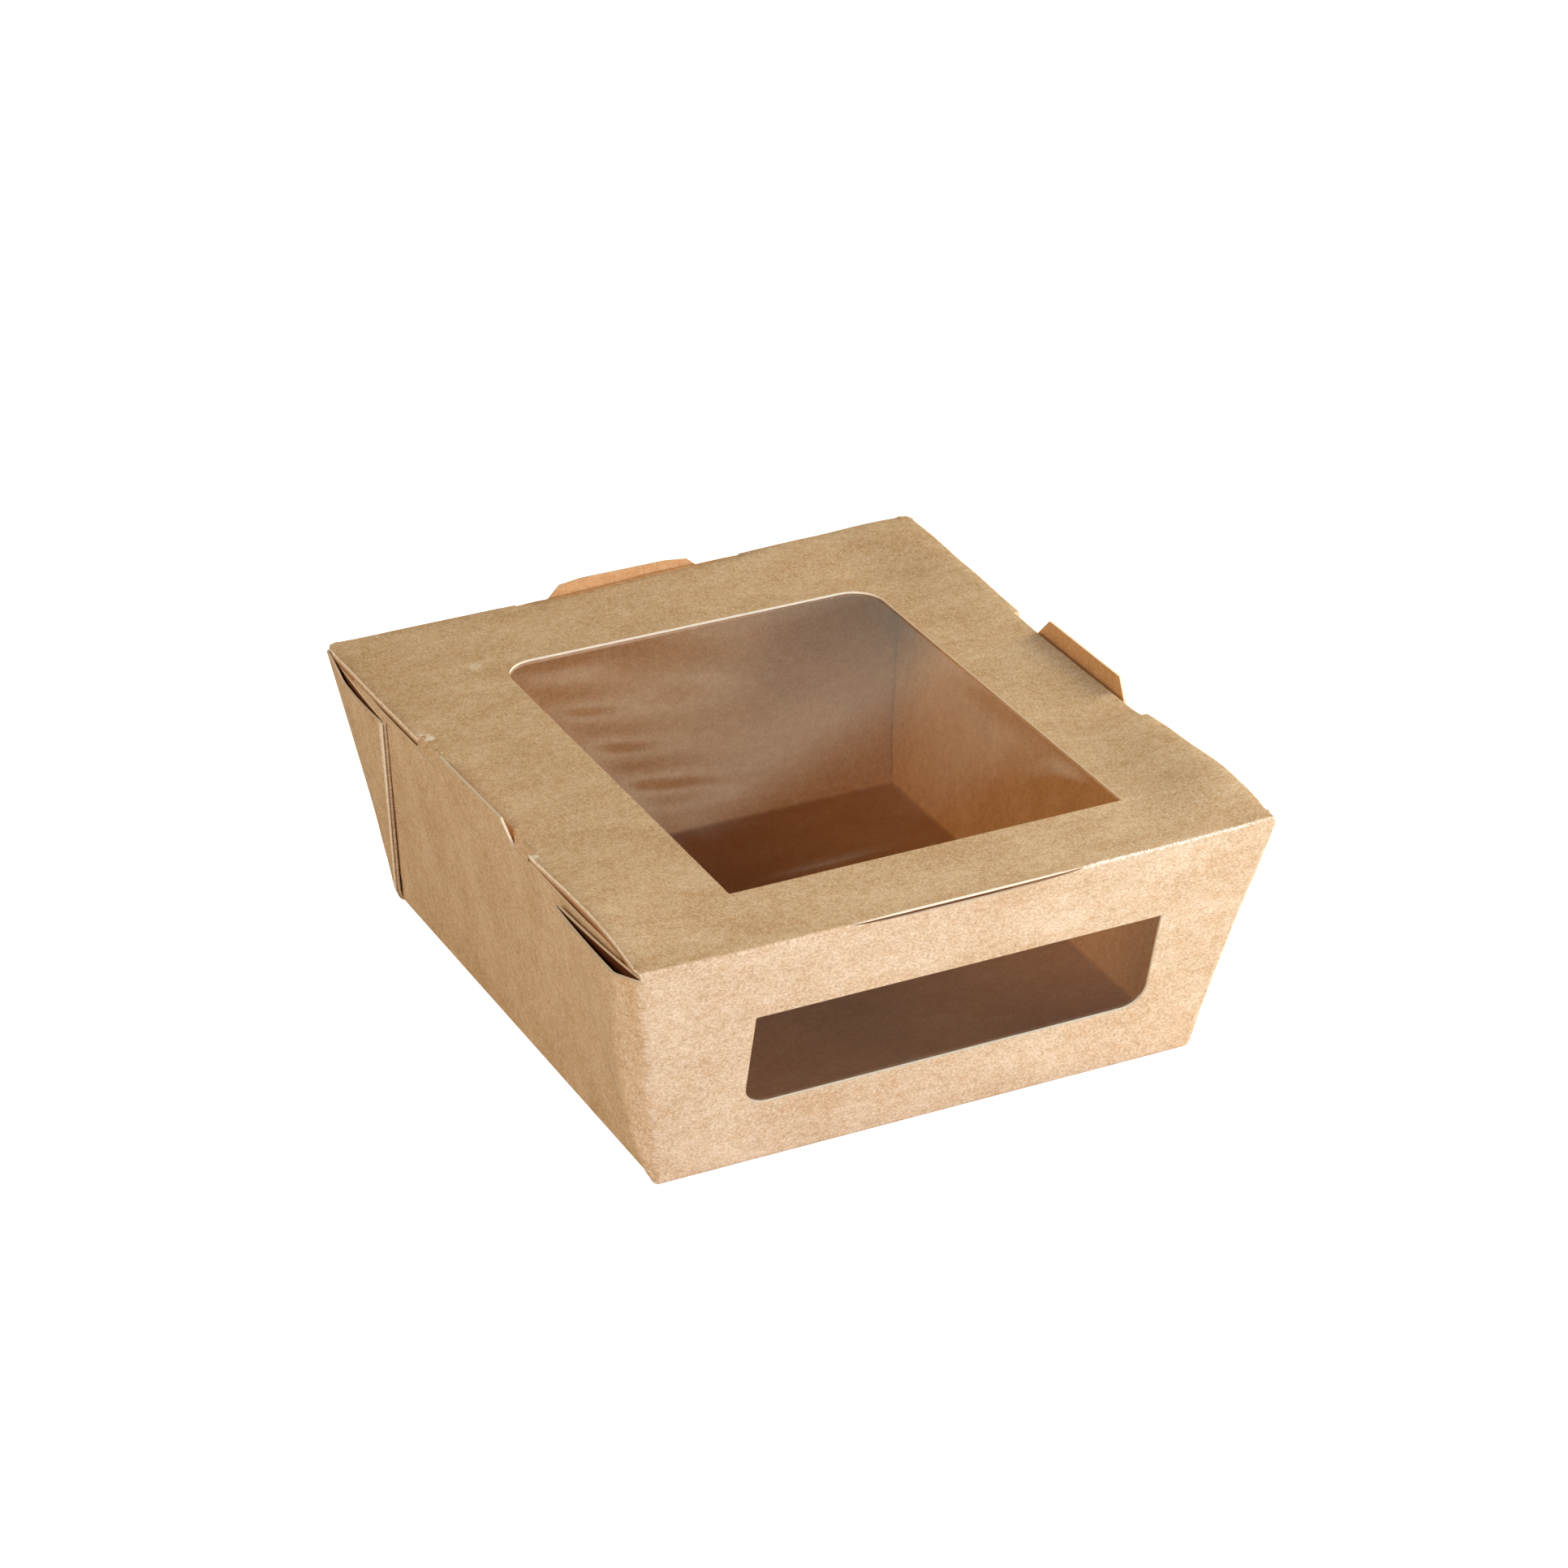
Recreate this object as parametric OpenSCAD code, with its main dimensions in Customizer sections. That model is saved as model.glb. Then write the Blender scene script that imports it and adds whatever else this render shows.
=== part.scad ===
// Takeaway box with a hinged, windowed lid, folded from one die-cut board blank.
// Origin: middle of the underside of the base. X runs along the front panel,
// Y from the front panel to the back wall, Z up. Millimetres.

/* [Tray] */
// Width over the side walls at the level of the lid
top_w = 138; // [100:1:200]
// Depth over the front panel and back wall at the level of the lid
top_d = 153.8; // [110:0.2:220]
// Width of the base
base_w = 118; // [80:1:180]
// Depth of the base
base_d = 127; // [90:1:200]
// Height from the base to the face of the closed lid
height = 56.6; // [35:0.2:90]
// Thickness of the board
board = 0.55; // [0.35:0.05:0.8]

/* [Rims and tabs] */
// How far the rims of the side and back walls stop below the lid's face
rim_drop = 2.1; // [1.6:0.1:4]
// Length of a locking tab where it leaves the rim
tab_foot = 37.5; // [20:0.5:60]
// Length of a locking tab at its top
tab_top = 29; // [12:0.5:50]
// Height of a locking tab over the rim, along the wall
tab_rise = 4.8; // [2:0.1:9]

/* [Corner webs] */
// How much shorter a web's folded edge is than the corner of the box
web_trim = 1.2; // [0.5:0.1:6]
// Clear space between a folded web and the wall behind it
web_gap = 0.15; // [0.1:0.05:0.5]
// How far the outer leaf of a front web stands open at its soft crease
pocket_front = 2; // [0.4:0.1:4]
// How far the outer leaf of a back web stands open at its soft crease
pocket_back = 0.5; // [0.2:0.1:4]
// Distance from the box's corner to the soft crease of an outer leaf
pocket_crease = 5.2; // [3:0.1:12]

/* [Lid] */
// Clear space between the folds of the lid and the inner faces of the walls
lid_fit = 0.15; // [0.1:0.05:0.6]
// Radius of the lid's back corners
lid_corner_r = 2; // [0.5:0.5:6]
// Depth of the three tuck flaps
flap_depth = 14; // [6:0.5:22]
// Angle by which a tuck flap leans further in than the wall beside it
flap_tuck = 4; // [2:0.5:10]
// Angle at which the ends of a tuck flap are cut
flap_taper = 24; // [18:1:40]
// Distance from a corner of the lid to the end of a tuck flap
flap_end = 2.5; // [1.5:0.1:8]
// Length of the set-back stretch in the middle of each lid fold
recess_l = 54.6; // [40:0.2:80]
// How far the set-back stretch lies inside the fold
recess_in = 0.6; // [0.3:0.05:0.7]

/* [Front crease] */
// Radius of the rounded crease that the lid turns on
crease_r = 0.55; // [0.5:0.05:0.9]
// Clear space between the crease and the front panel's top edge
crease_gap = 0.3; // [0.2:0.05:0.5]
// Length of the slit in the middle of the crease
slit_l = 50; // [10:1:80]
// How far the slit is cut back into the lid
slit_in = 0.3; // [0.1:0.05:0.5]

/* [Windows] */
// Width of the window in the lid
lid_window_w = 86.2; // [50:0.2:94]
// Depth of the window in the lid
lid_window_d = 108.4; // [60:0.2:112]
// Distance from the crease to the window in the lid
lid_window_near = 19.7; // [10:0.1:25]
// Radius of the two far corners of the window in the lid
lid_window_r = 7; // [2:0.5:14]
// Sideways shift of the window in the lid
lid_window_shift = 2.6; // [-4:0.1:4]
// Width of the window in the front panel
front_window_w = 88.6; // [50:0.2:94]
// Height of the window in the front panel, along the panel
front_window_h = 23.7; // [12:0.1:28]
// Distance from the crease to the front window, along the panel
front_window_near = 18.6; // [12:0.1:20]
// Radius of the two lower corners of the front window
front_window_r = 5.2; // [2:0.2:9]
// Sideways shift of the front window
front_window_shift = 1.8; // [-4:0.1:4]
// Thickness of the clear film
film = 0.1; // [0.05:0.01:0.2]
// How far the film reaches past the edge of a window
film_lap = 6; // [3:0.5:8]
// Distance from the crease at which the film of each panel ends
film_clear = 1.8; // [1.5:0.1:4]

/* [Hidden] */
$fn = 32;
ball_fn = 10;
bead_fn = 12;
eps = 0.01;
kraft = "tan";
kraft_lid = "burlywood";
clear = [0.8, 0.85, 0.88, 0.4];

// How far the walls spread from the base to the lid
side_out = (top_w - base_w) / 2;
front_out = (top_d - base_d) / 2;
side_lean = atan(side_out / height);
front_lean = atan(front_out / height);
side_slant = height / cos(side_lean);
front_slant = height / cos(front_lean);
// Board thickness measured level through a leaning wall
side_board = board / cos(side_lean);
front_board = board / cos(front_lean);
rim_z = height - rim_drop;
crease_top = height - 2 * crease_r - crease_gap;

// In the flat blank a corner web fills what the two leaning walls leave of a right angle
side_splay = atan(front_out / side_slant);
front_splay = atan(side_out / front_slant);
web_angle = (90 - side_splay - front_splay) / 2;
corner_len = norm([side_out, front_out, height]) * rim_z / height;
web_len = corner_len - web_trim;
// Level width of the two leaves and their gaps outside a side wall
web_stack = 2 * (side_board + web_gap);

// Half the lid's width and the place of its back fold
lid_half = top_w / 2 - side_board - lid_fit;
lid_back = top_d / 2 - front_board - lid_fit;
lid_front = -top_d / 2 + crease_r;
side_flap_lean = side_lean + flap_tuck;
back_flap_lean = front_lean + flap_tuck;

// Outside of the side wall and of the corner edge at height z
function wall_x(z) = base_w / 2 + side_out * z / height;
function corner_y(z) = base_d / 2 + front_out * z / height;

// A point at height z on the left side, y along the wall and off outwards, level
function web_point(y, z, off) = [wall_x(z) + off, y, z];

// Places 2D outlines on a wall: x along the wall, y up its slant, z outwards
module on_wall(turn, foot, lean) {
    rotate([0, 0, turn])
        translate([0, -foot, 0])
            rotate([90 + lean, 0, 0])
                children();
}

// A wall's board, its outer face on the outline's plane
module panel(outline) {
    translate([0, 0, -board])
        linear_extrude(board)
            polygon(outline);
}

// Window outline from y = 0 upwards, with round corners at one end
module window_outline(w, h, r) {
    translate([-w / 2, 0])
        square([w, h - r]);
    translate([-w / 2 + r, 0])
        square([w - 2 * r, h]);
    for (side = [-1, 1])
        translate([side * (w / 2 - r), h - r])
            circle(r);
}

// Half-widths of a wall with the locking tab, from the base to the tab's top
function tabbed(base_half, rim_half, rim) = [
    [-base_half, 0], [base_half, 0],
    [rim_half, rim], [tab_foot / 2, rim],
    [tab_top / 2, rim + tab_rise], [-tab_top / 2, rim + tab_rise],
    [-tab_foot / 2, rim], [-rim_half, rim]
];

module side_wall(turn) {
    on_wall(turn, base_w / 2, side_lean)
        panel(tabbed(base_d / 2, corner_y(rim_z), rim_z / cos(side_lean)));
}

module back_wall() {
    on_wall(180, base_d / 2, front_lean)
        panel(tabbed(base_w / 2, wall_x(rim_z) + web_stack, rim_z / cos(front_lean)));
}

module front_panel() {
    rim = rim_z / cos(front_lean);
    top = crease_top / cos(front_lean);
    half_rim = wall_x(rim_z) + web_stack;
    on_wall(0, base_d / 2, front_lean)
        difference() {
            panel([
                [-base_w / 2, 0], [base_w / 2, 0],
                [half_rim, rim - board], [lid_half, top],
                [-lid_half, top], [-half_rim, rim - board]
            ]);
            translate([front_window_shift, front_slant - front_window_near, -2 * board])
                mirror([0, 1, 0])
                    linear_extrude(3 * board)
                        window_outline(front_window_w, front_window_h, front_window_r);
        }
}

// A flat piece of board with round edges, given by points on its middle surface
module leaf(points) {
    hull()
        for (p = points)
            translate(p)
                sphere(d = board, $fn = ball_fn);
}

// The web at one corner, folded in two and laid flat outside the side wall.
// The inner leaf returns from the folded edge to the corner, the outer leaf
// runs on round the corner into the front or back panel.
module web(pocket) {
    inner_off = web_gap + side_board / 2;
    outer_off = web_stack - side_board / 2;
    turn = web_angle - side_splay;
    foot = web_point(base_d / 2 - board / 2, board / 2, -side_board / 2);
    top_z = rim_z - board;
    top_y = corner_y(top_z) - front_board / 2;
    tip_z = web_len * cos(turn) * cos(side_lean);
    tip_y = base_d / 2 - web_len * sin(turn);
    crease_y = top_y - pocket_crease;
    crease_z = top_z - (top_z - tip_z) * pocket_crease / (top_y - tip_y);
    inner_top = web_point(top_y, top_z, inner_off);
    inner_tip = web_point(tip_y, tip_z, inner_off);
    outer_top = web_point(top_y, top_z, outer_off);
    outer_tip = web_point(tip_y, tip_z, outer_off);
    soft_crease = web_point(crease_y, crease_z, outer_off + pocket);
    leaf([foot, inner_top, inner_tip]);
    leaf([foot, outer_top, soft_crease]);
    leaf([foot, soft_crease, outer_tip]);
    leaf([foot, inner_tip, outer_tip]);
}

module tray() {
    color(kraft) {
        translate([-base_w / 2, -base_d / 2, 0])
            cube([base_w, base_d, board]);
        front_panel();
        back_wall();
        for (turn = [-90, 90])
            side_wall(turn);
        for (side = [0, 1])
            mirror([side, 0, 0]) {
                web(pocket_back);
                mirror([0, 1, 0])
                    web(pocket_front);
            }
    }
}

// Tuck flap hung from a fold of the given length, leaning inwards
module tuck_flap(length) {
    half = length / 2 - flap_end;
    narrow = flap_depth * tan(flap_taper);
    corner = 3;
    translate([0, 0, -board])
        linear_extrude(board)
            difference() {
                polygon([
                    [-half, 0], [half, 0],
                    [half - narrow, -flap_depth], [-half + narrow, -flap_depth]
                ]);
                for (side = [-1, 1])
                    translate([side * (half - narrow), -flap_depth])
                        rotate(45)
                            square(corner, center = true);
            }
}

// Panel of the lid seen from above
module lid_outline() {
    difference() {
        union() {
            translate([-lid_half, lid_front])
                square([2 * lid_half, lid_back - lid_corner_r - lid_front]);
            translate([-lid_half + lid_corner_r, lid_front])
                square([2 * (lid_half - lid_corner_r), lid_back - lid_front]);
            for (side = [-1, 1])
                translate([side * (lid_half - lid_corner_r), lid_back - lid_corner_r])
                    circle(lid_corner_r);
        }
        translate([lid_window_shift, -top_d / 2 + lid_window_near])
            window_outline(lid_window_w, lid_window_d, lid_window_r);
        translate([-slit_l / 2, lid_front - eps])
            square([slit_l, slit_in + eps]);
    }
}

// Bevel that sets back the middle of a fold, its edge along X at the origin
module recess_cut() {
    rotate([45, 0, 0])
        cube([recess_l, recess_in * sqrt(2), recess_in * sqrt(2)], center = true);
}

module lid() {
    side_l = lid_back - lid_front;
    color(kraft_lid)
        difference() {
            union() {
                translate([0, 0, height - board])
                    linear_extrude(board)
                        lid_outline();
                for (side = [-1, 1])
                    translate([side * (slit_l + lid_half * 2) / 4, lid_front, height - crease_r])
                        rotate([0, 90, 0])
                            rotate(180 / bead_fn)
                                cylinder(h = lid_half - slit_l / 2, r = crease_r, center = true, $fn = bead_fn);
                for (turn = [-90, 90])
                    translate([0, (lid_back + lid_front) / 2, height])
                        rotate([0, 0, turn])
                            translate([0, -lid_half, 0])
                                rotate([90 + side_flap_lean, 0, 0])
                                    tuck_flap(side_l);
                translate([0, lid_back, height])
                    rotate([0, 0, 180])
                        rotate([90 + back_flap_lean, 0, 0])
                            tuck_flap(2 * lid_half);
            }
            for (turn = [-90, 90])
                rotate([0, 0, turn])
                    translate([0, -lid_half, height])
                        recess_cut();
            translate([0, lid_back, height])
                recess_cut();
        }
}

module lid_window_film() {
    near = max(lid_window_near - film_lap, film_clear);
    far = lid_window_near + lid_window_d + film_lap;
    color(clear)
        translate([lid_window_shift - lid_window_w / 2 - film_lap, -top_d / 2 + near, height - board - film])
            cube([lid_window_w + 2 * film_lap, far - near, film]);
}

module front_window_film() {
    near = max(front_window_near - film_lap, film_clear + crease_r);
    far = front_window_near + front_window_h + film_lap;
    color(clear)
        on_wall(0, base_d / 2, front_lean)
            translate([front_window_shift - front_window_w / 2 - film_lap, front_slant - far, -board - film])
                cube([front_window_w + 2 * film_lap, far - near, film]);
}

tray();
lid();
lid_window_film();
front_window_film();
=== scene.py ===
"""Takeaway box of kraft board with two film windows.

The box is folded from one die-cut blank: a tray with corner webs laid flat
outside its side walls, and a lid that turns on the crease of the front panel
and tucks in with three flaps. Sizes are in millimetres in the scene's own
classes, and metres in every mesh.
"""

import logging
import math
from dataclasses import dataclass, field
from enum import Enum
from typing import Callable, Sequence

import bpy
from mathutils import Matrix, Vector


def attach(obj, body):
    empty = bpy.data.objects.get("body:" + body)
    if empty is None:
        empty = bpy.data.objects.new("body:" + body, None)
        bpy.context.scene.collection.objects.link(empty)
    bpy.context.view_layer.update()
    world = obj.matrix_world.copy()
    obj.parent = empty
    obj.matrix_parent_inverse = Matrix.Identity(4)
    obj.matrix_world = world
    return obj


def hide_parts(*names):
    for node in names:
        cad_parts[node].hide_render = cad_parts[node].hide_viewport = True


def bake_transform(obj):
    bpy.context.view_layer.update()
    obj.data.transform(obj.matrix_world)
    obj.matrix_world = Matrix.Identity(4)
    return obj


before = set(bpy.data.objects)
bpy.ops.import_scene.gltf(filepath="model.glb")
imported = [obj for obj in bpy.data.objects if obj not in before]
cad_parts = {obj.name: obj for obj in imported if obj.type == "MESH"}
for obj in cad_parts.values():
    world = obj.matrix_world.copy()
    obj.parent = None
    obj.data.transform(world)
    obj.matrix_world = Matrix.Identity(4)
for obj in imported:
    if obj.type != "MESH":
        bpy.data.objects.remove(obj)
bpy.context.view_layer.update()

LOG = logging.getLogger("takeaway_box")
MM = 0.001
Pair = tuple[float, float]


def smooth(t: float) -> float:
    """Ease from 0 to 1 as t goes from 0 to 1.

    Args:
        t: how far along, clamped to 0..1.

    Returns:
        The eased value.
    """
    t = min(max(t, 0.0), 1.0)
    return t * t * (3 - 2 * t)


def mix(a: float, b: float, t: float) -> float:
    """Go from a to b by the share t."""
    return a + (b - a) * t


def between(a: Pair, b: Pair, t: float) -> Pair:
    """Go from point a to point b by the share t."""
    return (mix(a[0], b[0], t), mix(a[1], b[1], t))


def profile(stations: Sequence[Pair], at: float) -> float:
    """Read a given curve at one place, eased between its stations.

    Args:
        stations: (place, value) pairs in rising order of place.
        at: the place to read.

    Returns:
        The value there, held flat beyond the two ends.
    """
    if at <= stations[0][0]:
        return stations[0][1]
    for (low, a), (high, b) in zip(stations, stations[1:]):
        if at <= high:
            return mix(a, b, smooth((at - low) / (high - low)))
    return stations[-1][1]


def spread(start: float, end: float, pitch: float) -> list[float]:
    """Divide a stretch into equal steps no longer than a pitch.

    Args:
        start: first value, which the list leaves out.
        end: last value, which the list holds.
        pitch: longest step.

    Returns:
        The values after start, up to and with end.
    """
    steps = max(1, math.ceil(abs(end - start) / pitch))
    return [mix(start, end, step / steps) for step in range(1, steps)] + [end]


def bent(start: Pair, corner: Pair, end: Pair, steps: int) -> list[Pair]:
    """Round a corner of a section from one point to another.

    Args:
        start: where the bend begins.
        corner: where the two straight stretches would meet.
        end: where the bend ends.
        steps: number of steps round the bend.

    Returns:
        The points of the bend, both ends with them.
    """
    return [
        between(between(start, corner, step / steps), between(corner, end, step / steps), step / steps)
        for step in range(steps + 1)
    ]


@dataclass(frozen=True)
class BoxSizes:
    """Driving sizes of the folded box in millimetres, as its solids have them."""

    top_w: float = 138.0
    top_d: float = 153.8
    base_w: float = 118.0
    base_d: float = 127.0
    height: float = 56.6
    board: float = 0.55
    rim_drop: float = 2.1
    tab_foot: float = 37.5
    tab_top: float = 29.0
    tab_rise: float = 4.8
    web_gap: float = 0.15
    flap_depth: float = 14.0
    flap_taper: float = math.radians(24)
    flap_tuck: float = math.radians(4)
    flap_end: float = 2.5
    crease_r: float = 0.55
    crease_reach: float = 1.6

    @property
    def side_slope(self) -> float:
        """Outward run of a side wall per millimetre of height."""
        return (self.top_w - self.base_w) / 2 / self.height

    @property
    def front_slope(self) -> float:
        """Outward run of the front panel and back wall per millimetre of height."""
        return (self.top_d - self.base_d) / 2 / self.height

    @property
    def side_lean(self) -> float:
        """Angle of a side wall from upright."""
        return math.atan(self.side_slope)

    @property
    def front_lean(self) -> float:
        """Angle of the front panel and back wall from upright."""
        return math.atan(self.front_slope)

    @property
    def front_slant(self) -> float:
        """Length of the front panel from base to lid, along the panel."""
        return self.height / math.cos(self.front_lean)

    @property
    def rim_z(self) -> float:
        """Height of the rims of the side and back walls."""
        return self.height - self.rim_drop

    @property
    def mid_r(self) -> float:
        """Radius of the front crease in the middle of the board."""
        return self.crease_r - self.board / 2

    @property
    def crease_turn(self) -> float:
        """Angle that the closed crease turns through, from front panel to lid."""
        return math.pi / 2 + self.front_lean

    @property
    def crease_half(self) -> float:
        """Half the length of board that lies in the crease's bend."""
        return self.mid_r * self.crease_turn / 2

    @property
    def crease_z(self) -> float:
        """Height of the middle of the crease's bend."""
        return self.height - self.crease_r

    @property
    def crease_y(self) -> float:
        """Place in depth of the middle of the crease's bend."""
        plane = self.base_d / 2 + self.front_slope * self.crease_z
        return -plane + self.crease_r / math.cos(self.front_lean)

    @property
    def lid_z(self) -> float:
        """Height of the middle of the lid's board."""
        return self.height - self.board / 2

    @property
    def lid_half(self) -> float:
        """Half the width of the lid's panel."""
        return self.top_w / 2 - self.board / math.cos(self.side_lean) - self.web_gap

    @property
    def lid_back(self) -> float:
        """Place in depth of the lid's back fold."""
        return self.top_d / 2 - self.board / math.cos(self.front_lean) - self.web_gap

    @property
    def seam_y(self) -> float:
        """Place in depth where the lid's board takes over from the crease."""
        return self.crease_y + self.crease_reach - self.crease_half

    @property
    def seam_z(self) -> float:
        """Height where the front panel's board hands over to the crease."""
        down = self.crease_reach - self.crease_half
        return self.crease_z - self.mid_r * math.sin(self.front_lean) - down * math.cos(self.front_lean)

    def side_mid(self, z: float) -> float:
        """Half the width between the middles of the side walls' boards at height z."""
        return self.base_w / 2 + self.side_slope * z - self.board / 2 / math.cos(self.side_lean)

    def front_mid(self, z: float) -> float:
        """Half the depth between the middles of the front and back boards at height z."""
        return self.base_d / 2 + self.front_slope * z - self.board / 2 / math.cos(self.front_lean)


@dataclass(frozen=True)
class WindowCut:
    """A die-cut window: two square corners near the crease and two round ones."""

    left: float
    right: float
    near: float
    far: float
    radius: float
    steps: int = 8

    def near_cut(self, x: float, y: float) -> float:
        """1 at and inside the window's cut edge, 0 well away from it; it masks the painted highlight on the edge."""
        return float(self.left - 2 < x < self.right + 2 and self.near - 2 < y < self.far + 2)

    def insets(self) -> list[float]:
        """Distances from a straight edge at which the rounded corner has its points."""
        quarter = math.pi / 2 / self.steps
        return [self.radius * (1 - math.cos(quarter * step)) for step in range(self.steps + 1)]


@dataclass(frozen=True)
class Warp:
    """How the used board stands off its flat form, read off the photograph.

    Each curve is a list of (place, value) pairs in millimetres.
    """

    margin: float = 21.0
    right_lift: tuple[Pair, ...] = (
        (-76.5, 0.4), (-72.0, 2.0), (-58.0, 2.3), (-39.0, 1.6), (-31.0, 1.1),
        (-24.0, 0.1), (14.0, 0.1), (28.0, 0.6), (49.0, 1.4), (68.0, 2.1), (76.0, 2.0),
    )
    left_lift: tuple[Pair, ...] = (
        (-76.0, -0.5), (-71.0, 0.35), (-60.0, 1.05), (-45.0, 0.75), (-35.0, 0.2), (-26.0, -0.2), (28.0, 0.0), (76.0, 0.0),
    )
    back_lift: tuple[Pair, ...] = (
        (-66.0, 0.15), (-27.0, 0.2), (-18.0, 0.2), (15.0, 1.15), (45.0, 1.7), (60.0, 2.2), (68.0, 2.0),
    )
    left_inset: tuple[Pair, ...] = (
        (-76.0, 0.0), (-66.0, 0.35), (-46.0, 0.4), (-26.0, 0.3), (29.0, 0.0), (55.0, -0.3), (76.0, -0.5),
    )
    right_inset: tuple[Pair, ...] = ((-76.0, 0.1), (-71.5, -0.5), (-62.0, -0.5), (-42.0, 0.0))
    crease_forward: tuple[Pair, ...] = ((-66.0, 0.0), (-46.0, 0.8), (0.0, 0.7), (40.0, 0.4), (66.0, 0.0))
    crease_drop: tuple[Pair, ...] = ((-68.0, 0.5), (-48.0, 0.4), (0.0, 0.35), (40.0, 0.2), (60.0, 0.0), (68.0, -0.4))
    left_wall: tuple[Pair, ...] = ((-72.0, -0.4), (-27.0, -0.5), (20.0, 0.0), (45.0, 0.3), (72.0, 0.0))
    right_wall: tuple[Pair, ...] = ((-72.0, 0.0), (-45.0, 0.5), (0.0, 0.3), (72.0, 0.0))

    def front_bow(self, x: float, z: float, top: float) -> float:
        """How far the front panel bows forward at x and height z.

        Args:
            x: place across the panel.
            z: height.
            top: height at which the whole bow is reached.

        Returns:
            The forward distance in millimetres.
        """
        return profile(self.crease_forward, x) * max(z / top, 0.0) ** 1.6

    def lid_lift(self, x: float, y: float, sizes: BoxSizes) -> float:
        """How far the lid's panel stands above its plane at one place.

        Args:
            x: place across the lid.
            y: place in depth.
            sizes: the box's driving sizes.

        Returns:
            The rise in millimetres, blended from the four edges.
        """
        edges = (
            (sizes.lid_half - x, profile(self.right_lift, y)),
            (sizes.lid_half + x, profile(self.left_lift, y)),
            (sizes.lid_back - y, profile(self.back_lift, x)),
            (y - sizes.seam_y, -profile(self.crease_drop, x)),
        )
        shares = [(smooth(1 - away / self.margin), value) for away, value in edges]
        total = sum(share for share, _ in shares)
        lift = sum(share * value for share, value in shares) / max(total, 1.0)
        return mix(lift, edges[3][1], smooth(1 - edges[3][0] / 9.0))

    def lid_forward(self, x: float, y: float, sizes: BoxSizes) -> float:
        """How far the lid's panel follows the crease forward at one place."""
        return profile(self.crease_forward, x) * smooth(1 - (y - sizes.seam_y) / self.margin)


@dataclass(frozen=True)
class Spot:
    """One point of a sheet: its folded place, its place in the flat blank, its wear and its painted light.

    Crack is 1 where the skin is torn to the cream core; below 0 it paints the shade in a crack's narrow gap dark.
    The highlight share is 1 round a window, where the cut edge is painted paler as a painted highlight.
    Shade is 1 where the outer face is painted a dark tan as painted shade, and -1 where the inner face is painted
    darker as painted shade.
    """

    place: tuple[float, float, float]
    blank: Pair
    crack: float = 0.0
    painted_highlight: float = 0.0
    shade: float = 0.0


Plan = list[list[Spot]]


def hex_colour(code: str) -> tuple[float, float, float, float]:
    """Turn an sRGB hex colour into Blender's linear one.

    Args:
        code: six hex digits after a hash.

    Returns:
        Linear red, green, blue and full alpha.
    """
    shares = [int(code[place:place + 2], 16) / 255 for place in (1, 3, 5)]
    linear = [s / 12.92 if s <= 0.04045 else ((s + 0.055) / 1.055) ** 2.4 for s in shares]
    return (linear[0], linear[1], linear[2], 1.0)


def add_node(tree: bpy.types.NodeTree, kind: str, inputs: dict | None = None, **settings) -> bpy.types.Node:
    """Add one shader node with its settings and links.

    Args:
        tree: the node tree that gets it.
        kind: Blender's name of the node's type.
        inputs: values or output sockets by input name or number.
        settings: properties of the node itself.

    Returns:
        The new node.
    """
    node = tree.nodes.new(kind)
    for name, value in settings.items():
        setattr(node, name, value)
    for name, value in (inputs or {}).items():
        if isinstance(value, bpy.types.NodeSocket):
            tree.links.new(value, node.inputs[name])
        else:
            node.inputs[name].default_value = value
    return node


def add_ramp(tree: bpy.types.NodeTree, value: bpy.types.NodeSocket, low: float, high: float) -> bpy.types.NodeSocket:
    """Stretch a value so that low becomes 0 and high becomes 1, clamped.

    Args:
        tree: the node tree.
        value: the socket to stretch.
        low: value that gives 0.
        high: value that gives 1.

    Returns:
        The stretched value's socket.
    """
    node = add_node(
        tree, "ShaderNodeMapRange", {"Value": value, "From Min": low, "From Max": high},
        interpolation_type="SMOOTHSTEP",
    )
    return node.outputs["Result"]


def add_blend(
    tree: bpy.types.NodeTree, share: bpy.types.NodeSocket | float, first: object, second: object, how: str = "MIX"
) -> bpy.types.NodeSocket:
    """Mix two colours.

    Args:
        tree: the node tree.
        share: how much of the second shows.
        first: colour or socket below.
        second: colour or socket above.
        how: Blender's name of the way to mix.

    Returns:
        The mixed colour's socket.
    """
    node = add_node(
        tree, "ShaderNodeMix", {"Factor": share, 6: first, 7: second}, data_type="RGBA", blend_type=how
    )
    return node.outputs[2]


def add_sum(
    tree: bpy.types.NodeTree, how: str, first: bpy.types.NodeSocket | float, second: bpy.types.NodeSocket | float = 0.0
) -> bpy.types.NodeSocket:
    """Add one arithmetic step.

    Args:
        tree: the node tree.
        how: Blender's name of the operation.
        first: first value.
        second: second value.

    Returns:
        The result's socket.
    """
    return add_node(tree, "ShaderNodeMath", {0: first, 1: second}, operation=how).outputs[0]


@dataclass(frozen=True)
class Scuff:
    """A pale rubbed or torn patch on the board, by its place on the blank in millimetres."""

    u: float
    v: float
    radius: float
    strength: float


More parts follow.
